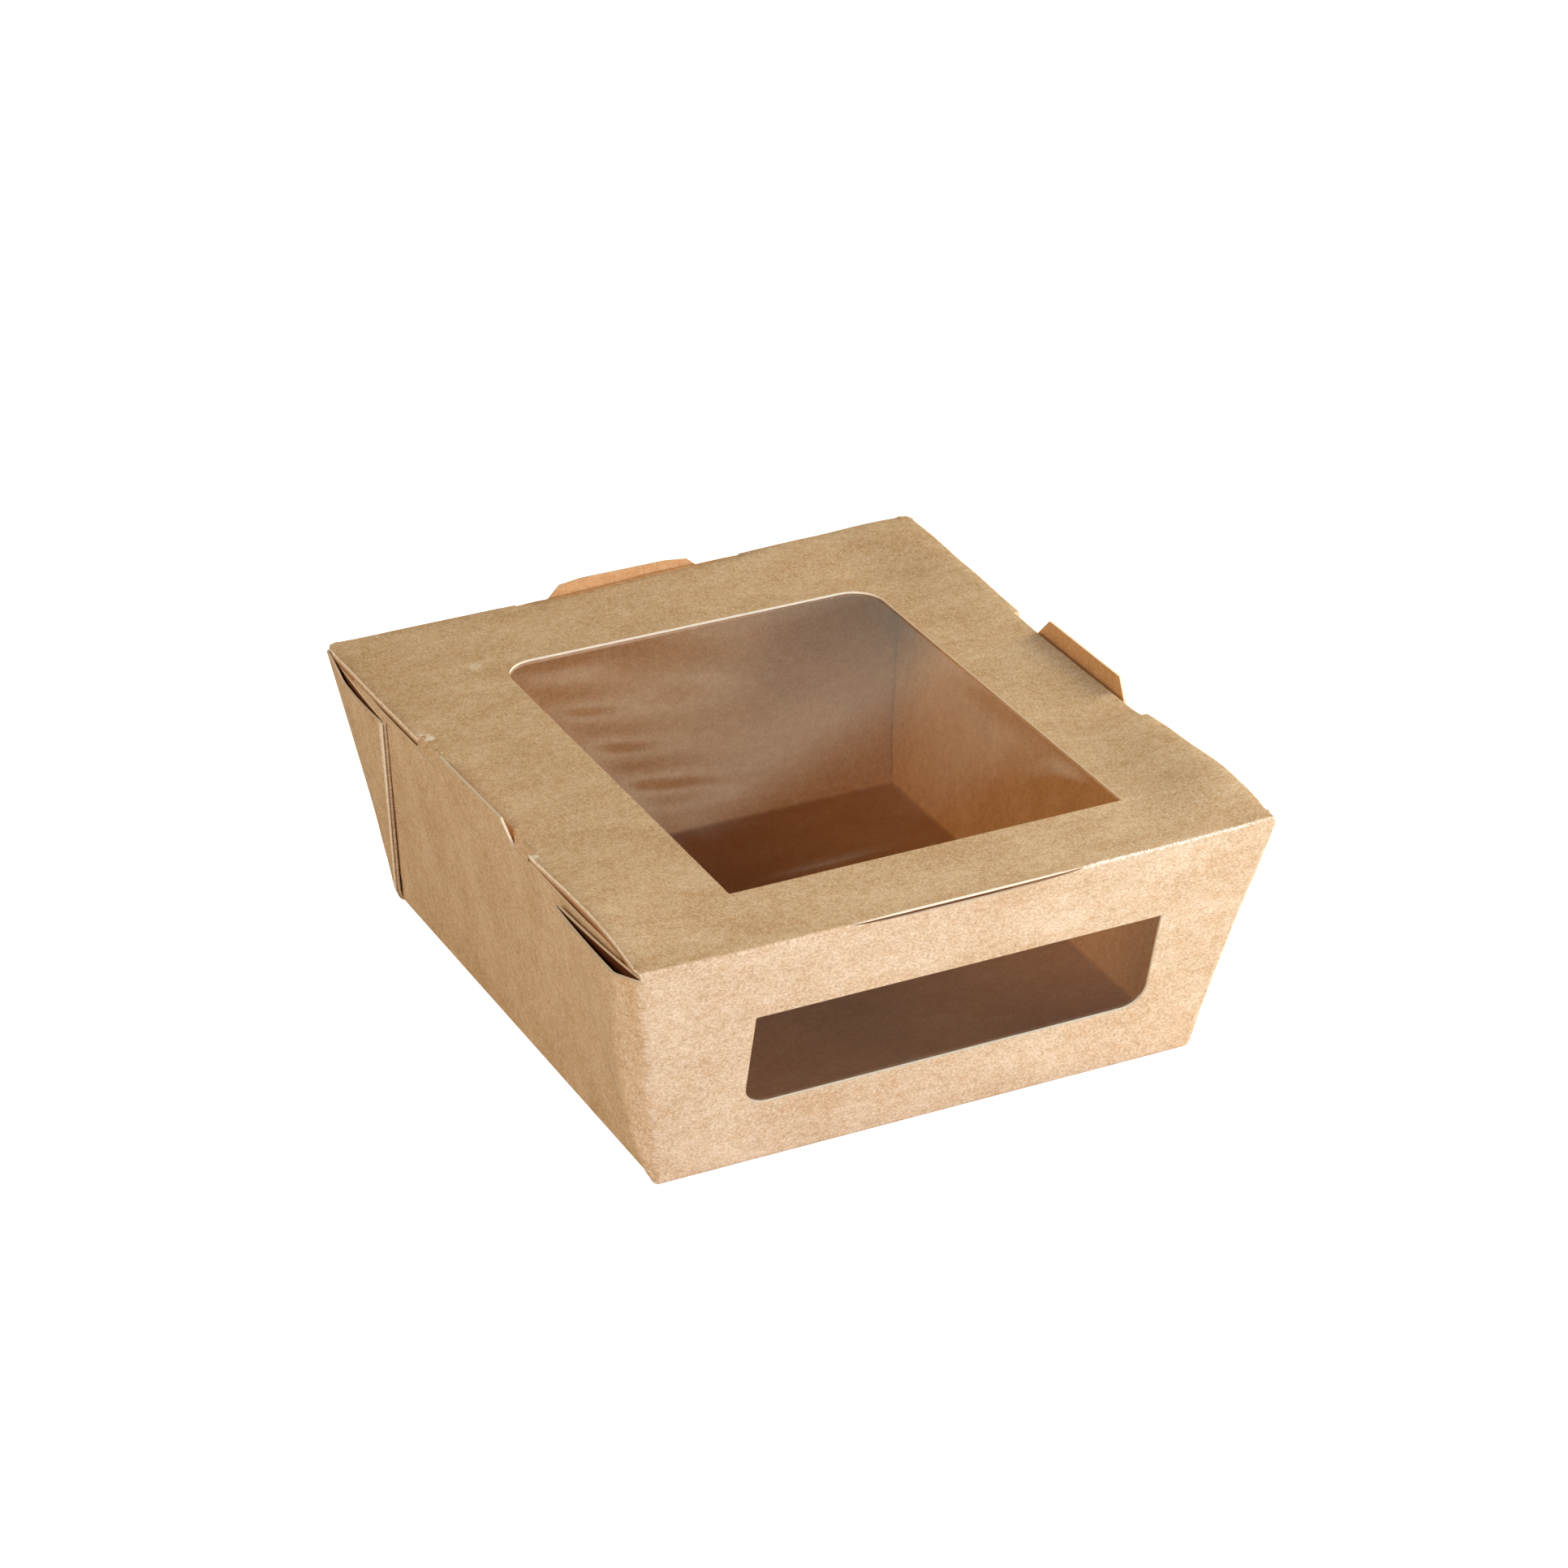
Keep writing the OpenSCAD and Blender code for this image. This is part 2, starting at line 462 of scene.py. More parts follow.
@dataclass(frozen=True)
class KraftFinish:
    """Uncoated brown kraft board, calendered on one side.

    To the eye it is a dry, matt tan sheet with cloudy darker and paler patches,
    a fine haze of light and dark hair-like fibres that mostly lie along the
    sheet's run, a few dark bark specks, and cream core showing where it cracks.
    It also carries painted shade: a dark tan on flaps below their folds, a darker brown
    on the inner face in the webs' pockets and on the tray's base, and a dark painted
    shade in the narrow gap of a cracked fold.
    """

    name: str = "kraft board"
    mid: str = "#CDAA80"
    dark: str = "#C19A6C"
    light: str = "#D8B88F"
    warm: str = "#CA9866"
    fibre_light: str = "#EBD7B5"
    fibre_dark: str = "#9A7448"
    # Colour of the painted shade, and which face it darkens: 1 the outer face, -1 the inner face.
    shade_colour: str = "#9C6230"
    shade_side: float = 1.0
    core: str = "#F0DFC4"
    # Dark painted shade in a crack's narrow gap.
    crack_gap_shade: str = "#4A3018"
    roughness: float = 0.78
    cloud_mm: float = 9.0
    tone_mm: float = 3.2
    floc_mm: float = 1.6
    fibre_mm: float = 0.55
    grain_mm: float = 0.42
    run: float = 2.0
    scuffs: tuple[Scuff, ...] = ()

    def add_scuffs(
        self, tree: bpy.types.NodeTree, wear: bpy.types.NodeSocket, place: bpy.types.NodeSocket
    ) -> bpy.types.NodeSocket:
        """Add the pale patches to the wear.

        Args:
            tree: the node tree.
            wear: wear from the folds.
            place: flat place on the blank in millimetres.

        Returns:
            The wear with the patches added.
        """
        for scuff in self.scuffs:
            away = add_node(
                tree, "ShaderNodeVectorMath", {0: place, 1: (scuff.u, scuff.v, 0.0)}, operation="DISTANCE"
            ).outputs["Value"]
            near = add_ramp(tree, away, scuff.radius, 0.0)
            wear = add_sum(tree, "ADD", wear, add_sum(tree, "MULTIPLY", near, scuff.strength))
        return wear

    def noise(
        self, tree: bpy.types.NodeTree, place: bpy.types.NodeSocket, width: float, run: float, detail: float, seed: float
    ) -> bpy.types.NodeSocket:
        """Add a cloud of noise drawn out along the sheet's run.

        Args:
            tree: the node tree.
            place: flat place on the blank in millimetres.
            width: size of one cloud across the run, in millimetres.
            run: how many times longer it is along the run.
            detail: number of finer layers.
            seed: shift that makes this noise its own.

        Returns:
            The noise value's socket.
        """
        mapped = add_node(
            tree, "ShaderNodeMapping",
            {"Vector": place, "Location": (seed, seed * 1.7, 0.0), "Scale": (1 / (width * run), 1 / width, 1.0)},
        )
        cloud = add_node(
            tree, "ShaderNodeTexNoise",
            {"Vector": mapped.outputs[0], "Scale": 1.0, "Detail": detail, "Roughness": 0.6},
            noise_dimensions="2D",
        )
        return cloud.outputs["Fac"]

    def add_fibres(
        self, tree: bpy.types.NodeTree, colour: bpy.types.NodeSocket, place: bpy.types.NodeSocket, turn: float, seed: float
    ) -> bpy.types.NodeSocket:
        """Lay one family of hair-like fibres, pale ones and brown ones.

        Each fibre follows a winding contour of stretched noise, and a second
        noise breaks the contour into short lengths.

        Args:
            tree: the node tree.
            colour: colour below the fibres.
            place: flat place on the blank in millimetres.
            turn: angle of this family to the run, in radians.
            seed: shift that makes this family its own.

        Returns:
            The colour with the fibres on it.
        """
        turned = add_node(tree, "ShaderNodeMapping", {"Vector": place, "Rotation": (0.0, 0.0, turn)}).outputs[0]
        winding = self.noise(tree, turned, self.fibre_mm, 3.0, 1.0, seed)
        broken = self.noise(tree, turned, self.fibre_mm * 1.6, 1.6, 0.0, seed + 31.0)
        for level, start, strength, code in (
            (0.54, 0.52, 0.22, self.fibre_light), (0.44, 0.46, 0.26, self.fibre_dark)
        ):
            off_line = add_sum(tree, "ABSOLUTE", add_sum(tree, "SUBTRACT", winding, level))
            line = add_ramp(tree, off_line, 0.022, 0.006)
            length = add_ramp(tree, broken, start, start + (0.08 if start > 0.5 else -0.08))
            mask = add_sum(tree, "MULTIPLY", add_sum(tree, "MULTIPLY", line, length), strength)
            colour = add_blend(tree, mask, colour, hex_colour(code))
        return colour

    def build(self) -> bpy.types.Material:
        """Make the material.

        Returns:
            The finished material.
        """
        material = bpy.data.materials.new(self.name)
        material.use_nodes = True
        tree = material.node_tree
        tree.nodes.clear()
        blank = add_node(tree, "ShaderNodeUVMap", uv_map="blank").outputs[0]
        place = add_node(tree, "ShaderNodeMapping", {"Vector": blank, "Scale": (1000.0, 1000.0, 1.0)}).outputs[0]
        cloud = self.noise(tree, place, self.cloud_mm, self.run, 1.0, 3.1)
        floc = self.noise(tree, place, self.floc_mm, 1.5, 3.0, 17.3)
        grain = self.noise(tree, place, self.grain_mm, 1.5, 2.0, 41.9)
        patch = add_sum(tree, "ADD", add_sum(tree, "MULTIPLY", cloud, 0.4), add_sum(tree, "MULTIPLY", floc, 0.6))
        colour = add_blend(tree, add_ramp(tree, patch, 0.33, 0.51), hex_colour(self.dark), hex_colour(self.mid))
        colour = add_blend(tree, add_ramp(tree, patch, 0.49, 0.67), colour, hex_colour(self.light))
        tone = self.noise(tree, place, self.tone_mm, 1.4, 2.0, 71.0)
        warm = add_sum(tree, "MULTIPLY", add_ramp(tree, tone, 0.48, 0.68), 0.3)
        colour = add_blend(tree, warm, colour, hex_colour(self.warm))
        speck = add_ramp(tree, grain, 0.5, 0.25)
        colour = add_blend(tree, add_sum(tree, "MULTIPLY", speck, 0.48), colour, hex_colour(self.fibre_dark))
        fleck = add_ramp(tree, grain, 0.5, 0.75)
        colour = add_blend(tree, add_sum(tree, "MULTIPLY", fleck, 0.45), colour, hex_colour(self.fibre_light))
        for turn, seed in ((0.35, 5.0), (-0.75, 11.0)):
            colour = self.add_fibres(tree, colour, place, turn, seed)
        # Painted shade: the shade attribute paints flaps below their folds, pockets and the tray's base towards the
        # shade colour.
        shade = add_node(tree, "ShaderNodeAttribute", attribute_name="shade").outputs["Fac"]
        shade = add_ramp(tree, add_sum(tree, "MULTIPLY", shade, self.shade_side), 0.0, 1.0)
        colour = add_blend(tree, shade, colour, hex_colour(self.shade_colour))
        wear = add_node(tree, "ShaderNodeAttribute", attribute_name="crack").outputs["Fac"]
        wear = self.add_scuffs(tree, wear, place)
        torn = self.noise(tree, place, 0.3, 1.5, 2.0, 93.0)
        cracked = add_ramp(tree, add_sum(tree, "ADD", add_sum(tree, "MULTIPLY", wear, 0.7), torn), 0.84, 1.02)
        colour = add_blend(tree, cracked, colour, hex_colour(self.core))
        # Painted shade: a crack value below 0 paints the dark shade of a crack's narrow gap.
        colour = add_blend(tree, add_ramp(tree, wear, -0.25, -0.8), colour, hex_colour(self.crack_gap_shade))
        relief = add_sum(tree, "ADD", add_sum(tree, "MULTIPLY", floc, 0.6), add_sum(tree, "MULTIPLY", grain, 0.4))
        bump = add_node(tree, "ShaderNodeBump", {"Height": relief, "Strength": 0.5, "Distance": 0.00012})
        surface = add_node(
            tree, "ShaderNodeBsdfPrincipled",
            {"Base Color": colour, "Roughness": self.roughness, "IOR": 1.45, "Normal": bump.outputs[0]},
        )
        add_node(tree, "ShaderNodeOutputMaterial", {"Surface": surface.outputs[0]})
        return material


@dataclass(frozen=True)
class CutEdgeFinish:
    """Die-cut edge of the board.

    To the eye it is a thin cream line of pressed fibre, a little rough, with a
    fine brown line along each skin where the outer plies end. Round a window the cream is painted paler: a painted
    highlight on the window's cut edge.
    """

    name: str = "cut board edge"
    # Paler cream of a window's cut edge: a painted highlight. The next colour is the cream of every other cut edge.
    core: str = "#FCEBC8"
    plain_core: str = "#E9D3B0"
    skin: str = "#9A754C"
    roughness: float = 0.85

    def build(self) -> bpy.types.Material:
        """Make the material.

        Returns:
            The finished material.
        """
        material = bpy.data.materials.new(self.name)
        material.use_nodes = True
        tree = material.node_tree
        tree.nodes.clear()
        place = add_node(tree, "ShaderNodeTexCoord").outputs["Object"]
        fuzz = add_node(tree, "ShaderNodeTexNoise", {"Vector": place, "Scale": 1300.0, "Detail": 2.0}).outputs["Fac"]
        depth = add_node(tree, "ShaderNodeAttribute", attribute_name="depth").outputs["Fac"]
        off_middle = add_sum(tree, "ABSOLUTE", add_sum(tree, "SUBTRACT", depth, 0.5))
        ragged = add_sum(tree, "ADD", off_middle, add_sum(tree, "MULTIPLY", fuzz, 0.12))
        skin = add_sum(tree, "MULTIPLY", add_ramp(tree, ragged, 0.46, 0.56), 0.5)
        # Painted highlight: round a window the edge's cream turns paler.
        painted_highlight = add_node(tree, "ShaderNodeAttribute", attribute_name="painted_highlight").outputs["Fac"]
        core = add_blend(tree, painted_highlight, hex_colour(self.plain_core), hex_colour(self.core))
        core = add_blend(tree, add_sum(tree, "MULTIPLY", fuzz, 0.15), core, hex_colour(self.skin), "MULTIPLY")
        colour = add_blend(tree, skin, core, hex_colour(self.skin))
        bump = add_node(tree, "ShaderNodeBump", {"Height": fuzz, "Strength": 0.4, "Distance": 0.00008})
        surface = add_node(
            tree, "ShaderNodeBsdfPrincipled",
            {"Base Color": colour, "Roughness": self.roughness, "Normal": bump.outputs[0]},
        )
        add_node(tree, "ShaderNodeOutputMaterial", {"Surface": surface.outputs[0]})
        return material


@dataclass(frozen=True)
class FilmFinish:
    """Clear PLA window film.

    To the eye it is a thin glossy skin that mirrors the room softly at a low
    angle and carries a faint haze. Lamps shine through it, so what it covers
    isn't left in the dark.
    """

    name: str = "clear window film"
    tint: str = "#FFFCF6"
    pass_through: str = "#FAF9F7"
    ior: float = 1.46
    roughness: float = 0.02

    def build(self) -> bpy.types.Material:
        """Make the material.

        Returns:
            The finished material.
        """
        material = bpy.data.materials.new(self.name)
        material.use_nodes = True
        tree = material.node_tree
        tree.nodes.clear()
        glass = add_node(
            tree, "ShaderNodeBsdfPrincipled",
            {
                "Base Color": hex_colour(self.tint), "Roughness": self.roughness,
                "IOR": self.ior, "Transmission Weight": 1.0,
            },
        )
        clear = add_node(tree, "ShaderNodeBsdfTransparent", {"Color": hex_colour(self.pass_through)})
        path = add_node(tree, "ShaderNodeLightPath")
        open_way = add_sum(tree, "MAXIMUM", path.outputs["Is Shadow Ray"], path.outputs["Is Diffuse Ray"])
        shader = add_node(
            tree, "ShaderNodeMixShader", {0: open_way, 1: glass.outputs[0], 2: clear.outputs[0]}
        )
        add_node(tree, "ShaderNodeOutputMaterial", {"Surface": shader.outputs[0]})
        return material


OUTER_KRAFT = KraftFinish(scuffs=(
    Scuff(-45.0, 187.5, 4.5, 0.62), Scuff(-41.0, 190.0, 2.5, 0.5), Scuff(-44.3, 174.9, 3.5, 0.5),
    Scuff(51.0, 193.4, 4.0, 0.42), Scuff(50.4, 155.2, 3.5, 0.42), Scuff(-67.4, 161.9, 1.9, 1.3),
    Scuff(-67.6, 107.4, 1.5, 1.2), Scuff(-67.0, 163.8, 1.2, 1.0),
))
# Its shade colour is painted shade on the inner face: the webs' pockets and the tray's base.
INNER_KRAFT = KraftFinish(
    name="inner kraft board", mid="#CF985F", dark="#C68E55", light="#D6A26C", warm="#C98C50",
    fibre_light="#DCB080", fibre_dark="#AE7846", shade_colour="#6E3410", shade_side=-1.0,
)


@dataclass
class Finishes:
    """The box's finished materials, made once and shared by its pieces."""

    face: bpy.types.Material = field(default_factory=OUTER_KRAFT.build)
    inner: bpy.types.Material = field(default_factory=INNER_KRAFT.build)
    edge: bpy.types.Material = field(default_factory=lambda: CutEdgeFinish().build())
    film: bpy.types.Material = field(default_factory=lambda: FilmFinish().build())

    @property
    def board(self) -> tuple[bpy.types.Material, ...]:
        """Finishes of the board's outer face, inner face and cut edge."""
        return (self.face, self.inner, self.edge)


def start_edit(piece: bpy.types.Object, mode: str) -> None:
    """Open a piece for editing with nothing selected.

    Args:
        piece: the mesh object; not used.
        mode: VERT, EDGE or FACE.
    """
    bpy.ops.object.mode_set(mode="EDIT")
    bpy.ops.mesh.select_mode(type=mode)
    bpy.ops.mesh.select_all(action="DESELECT")
    bpy.ops.object.mode_set(mode="OBJECT")


def pick_faces(piece: bpy.types.Object, wanted: Callable[[Vector], bool]) -> int:
    """Select a piece's faces by the place of their middles.

    Args:
        piece: the mesh object, in object mode.
        wanted: test of a face's middle.

    Returns:
        How many faces were selected.
    """
    start_edit(piece, "FACE")
    count = 0
    for polygon in piece.data.polygons:
        polygon.select = wanted(polygon.center)
        count += polygon.select
    return count


def edit(*steps: Callable[[], object]) -> None:
    """Run edit-mode operators on what is selected, then go back to object mode."""
    bpy.ops.object.mode_set(mode="EDIT")
    for step in steps:
        step()
    bpy.ops.object.mode_set(mode="OBJECT")


class Sheet:
    """A sheet laid out flat as a grid in its plan, cut, and then folded."""

    def __init__(self, name: str, plan: Plan) -> None:
        """Lay the sheet out, one grid point for each spot of the plan.

        Args:
            name: name of the piece.
            plan: rows of spots, each row as long as the others.
        """
        self.plan = plan
        rows, columns = len(plan), len(plan[0])
        bpy.ops.object.select_all(action="DESELECT")
        bpy.ops.mesh.primitive_grid_add(
            x_subdivisions=columns - 1, y_subdivisions=rows - 1, size=1, calc_uvs=False, location=(0, 0, 0)
        )
        self.piece = bpy.context.object
        self.piece.name = self.piece.data.name = name
        for number, vertex in enumerate(self.piece.data.vertices):
            vertex.co = (number % columns, number // columns, 0)

    def drop(self, wanted: Callable[[Vector], bool]) -> None:
        """Cut away cells of the plan by their middles, in columns and rows."""
        if pick_faces(self.piece, wanted):
            edit(lambda: bpy.ops.mesh.delete(type="FACE"))

    def punch(self, window: WindowCut, left: int, right: int, near: int, far: int) -> None:
        """Punch a window whose two far corners are round.

        Args:
            window: the window's form.
            left: plan column of its left edge.
            right: plan column of its right edge.
            near: plan row of its square end.
            far: plan row of its round end.
        """
        steps = window.steps
        inward = 1 if far > near else -1
        arc_row = far - inward * steps
        for corner, side in ((left, 1), (right, -1)):
            columns = sorted((corner, corner + side * steps))
            rows = sorted((far, arc_row))
            pick_faces(
                self.piece, lambda c, a=columns, b=rows: a[0] < c.x < a[1] and b[0] < c.y < b[1]
            )
            edit(lambda s=side, x=corner: bpy.ops.mesh.bisect(
                plane_co=(x, arc_row, 0), plane_no=(s, -inward, 0), clear_outer=True, threshold=0.001
            ))
        low, high = sorted((near, arc_row))
        self.drop(lambda c: left < c.x < right and low < c.y < high)
        low, high = sorted((far, arc_row))
        self.drop(lambda c: left + steps < c.x < right - steps and low < c.y < high)

    def fold(self) -> None:
        """Write the blank's coordinates, the wear and the painted light, then fold every point to its place."""
        mesh = self.piece.data
        spots = [self.plan[round(v.co.y)][round(v.co.x)] for v in mesh.vertices]
        layer = mesh.uv_layers.new(name="blank")
        for loop in mesh.loops:
            u, v = spots[loop.vertex_index].blank
            layer.data[loop.index].uv = (u * MM, v * MM)
        # crack is wear; the other two carry the painted highlight and the painted shade.
        for name in ("crack", "painted_highlight", "shade"):
            layer = mesh.attributes.new(name, "FLOAT", "POINT")
            layer.data.foreach_set("value", [getattr(spot, name) for spot in spots])
        for vertex, spot in zip(mesh.vertices, spots):
            vertex.co = Vector(spot.place) * MM
        start_edit(self.piece, "VERT")
        edit(
            lambda: bpy.ops.mesh.select_all(action="SELECT"),
            lambda: bpy.ops.mesh.remove_doubles(threshold=0.00001),
        )

    def thicken(self, thickness: float, materials: Sequence[bpy.types.Material]) -> None:
        """Give the folded sheet its thickness about its middle, and its materials.

        Args:
            thickness: thickness in millimetres.
            materials: finishes of the faces and of the cut edge.
        """
        for material in materials:
            self.piece.data.materials.append(material)
        self.piece.vertex_groups.new(name="inner skin")
        wall = self.piece.modifiers.new("thickness", "SOLIDIFY")
        wall.thickness = thickness * MM
        wall.offset = 0.0
        wall.material_offset = min(1, len(materials) - 1)
        wall.material_offset_rim = len(materials) - 1
        wall.shell_vertex_group = "inner skin"
        bpy.ops.object.modifier_apply(modifier=wall.name)
        mesh = self.piece.data
        depth = mesh.attributes.new("depth", "FLOAT", "POINT")
        depth.data.foreach_set("value", [float(any(g.weight > 0.5 for g in v.groups)) for v in mesh.vertices])
        bpy.ops.object.shade_smooth_by_angle(angle=math.radians(32))

    def rest_on(self, body: str, nodes: Sequence[str]) -> bpy.types.Object:
        """Hang the finished piece on its body, in place of its CAD nodes.

        Args:
            body: CAD body that carries it.
            nodes: CAD nodes that it stands for.

        Returns:
            The finished piece.
        """
        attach(self.piece, body)
        if nodes:
            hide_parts(*nodes)
        LOG.info("%s: %d faces on %s", self.piece.name, len(self.piece.data.polygons), body)
        return self.piece


@dataclass(frozen=True)
class Web:
    """Corner web, folded in two and laid flat outside a side wall.

    Its outer leaf runs round the corner from the front or back panel, folds
    back on itself at its free edge, and returns as the inner leaf to the
    corner, where it turns once more into the side wall.
    """

    sizes: BoxSizes
    side: int
    end: int
    reach: float = 32.0
    tip_z: float = 52.5
    corner_z: float = 54.2
    pocket: float = 0.4
    crease: float = 5.2
    dip: float = 0.0
    bend: float = 0.9
    soft_bend: float = 1.3
    layer: float = 0.71
    worn: float = 0.0
    hold: float = 1.0

    def length(self, z: float) -> float:
        """Length of the two leaves at height z."""
        return max(self.reach * z / self.tip_z, 0.4)

    def gap(self, z: float) -> float:
        """Distance between the middles of two layers of board at height z."""
        return self.layer * min(1.0, max(z, 0.0) / 4.0) ** 0.6

    def pinch(self, away: float, z: float) -> float:
        """How far the corner draws the whole stack inwards.

        Args:
            away: level distance from the corner along the side wall.
            z: height.

        Returns:
            The inward distance, none beyond the web's free edge.
        """
        share = max(1 - away / self.length(z), 0.0)
        return 2 * self.gap(z) * share * share * mix(1.0, self.hold, smooth((z - 30) / 20))

    def stand_off(self, z: float) -> float:
        """Distance from the corner at which the inner leaf turns into the wall."""
        return min(self.sizes.board * 1.1 + self.gap(z) / 2 + 0.1, 0.5 * self.length(z))

    def bulge(self, z: float) -> float:
        """How far the outer leaf stands open at its soft crease."""
        full = profile(((0.0, 0.25), (6.0, 0.7), (14.0, 1.0), (34.0, 1.2), (54.0, 1.0)), z)
        return self.pocket * full * min(1.0, self.length(z) / self.crease)

    def section(self, z: float) -> list[Pair]:
        """Level section of the folded web, from the end panel to the side wall.

        Args:
            z: height of the section.

        Returns:
            Points as distance from the corner along the wall, and distance
            outwards from the middle of the wall's board.
        """
        length, gap = self.length(z), self.gap(z)
        outer = 2 * gap
        crease = min(self.crease * profile(((0.0, 0.6), (34.0, 1.25), (54.0, 1.0)), z), 0.5 * length)
        bend = min(self.bend, 0.4 * crease)
        soft = min(self.soft_bend, 0.4 * crease)
        corner, knee, tip = (0.0, outer), (crease, outer + self.bulge(z)), (length, outer)
        first = between(corner, knee, bend / crease)
        points = bent((0.0, outer - bend), corner, first, 5)
        before = between(knee, corner, soft / crease)
        after = between(knee, tip, soft / (length - crease))
        points += [between(first, before, step / 3) for step in (1, 2)]
        points += bent(before, knee, after, 4)
        points += [between(after, tip, step / 8) for step in range(1, 8)]
        points += self.half_turn((length, 1.5 * gap), gap / 2, 1)
        back = self.stand_off(z)
        points += [between((length, gap), (back, gap), step / 9) for step in range(1, 9)]
        points += self.half_turn((back, gap / 2), gap / 2, -1)
        return points

    @staticmethod
    def half_turn(middle: Pair, radius: float, side: int) -> list[Pair]:
        """Points of a fold of the board right back on itself.

        Args:
            middle: centre of the fold.
            radius: its radius in the middle of the board.
            side: 1 where it turns away from the corner, -1 towards it.

        Returns:
            Seven points from the outer layer to the inner one.
        """
        angles = [math.pi * (0.5 - step / 6) for step in range(7)]
        return [(middle[0] + side * radius * math.cos(a), middle[1] + radius * math.sin(a)) for a in angles]

    def tops(self) -> list[float]:
        """Height of the board's top edge at each point of the section."""
        leaf = [self.corner_z] * 6
        run = 15
        for step in range(1, run):
            share = step / run
            leaf.append(mix(self.corner_z, self.tip_z, share) - self.dip * math.sin(math.pi * share))
        inner = [mix(self.tip_z, self.sizes.rim_z - 0.2, step / 9) for step in range(1, 9)]
        return leaf + [self.tip_z] * 7 + inner + [self.sizes.rim_z - 0.1] * 7

    def cracks(self) -> list[float]:
        """How far the board's skin has cracked at each point of the section; the corner's values paint a highlight and
        one negative value paints shade.
        """
        # Painted highlight: pale flecks along the corner bend stand for its highlight.
        corner = [0.10, 0.22, 0.30, 0.30, 0.22, 0.10]
        # The fold cracks to cream; its -0.9 paints the shade in the crack's narrow gap dark.
        fold = [self.worn * share for share in (0.2, 0.85, 1.0, -0.9, 0.9, 0.5, 0.2, 0.1, 0.0)]
        return corner + [0.0] * 13 + fold + [0.0] * 14

    def place(self, point: Pair, z: float) -> Pair:
        """Turn a point of the section into the box's own X and Y.

        Args:
            point: distance along the wall and distance outwards.
            z: height of the section.

        Returns:
            The place in X and Y.
        """
        away, out = point
        x = self.sizes.side_mid(z) - self.pinch(max(away, 0.0), z) + out
        return (self.side * x, self.end * (self.sizes.front_mid(z) - away))


@dataclass
class Column:
    """One upright line of the tray's walls, from the base to its top edge."""

    at: Callable[[float], Pair]
    top: float
    blank: Callable[[Sequence[float]], Pair]
    crack: float = 0.0
    # shade: painted shade share, below 0 on the inner face.
    shade: float = 0.0
    corner: Pair | None = None


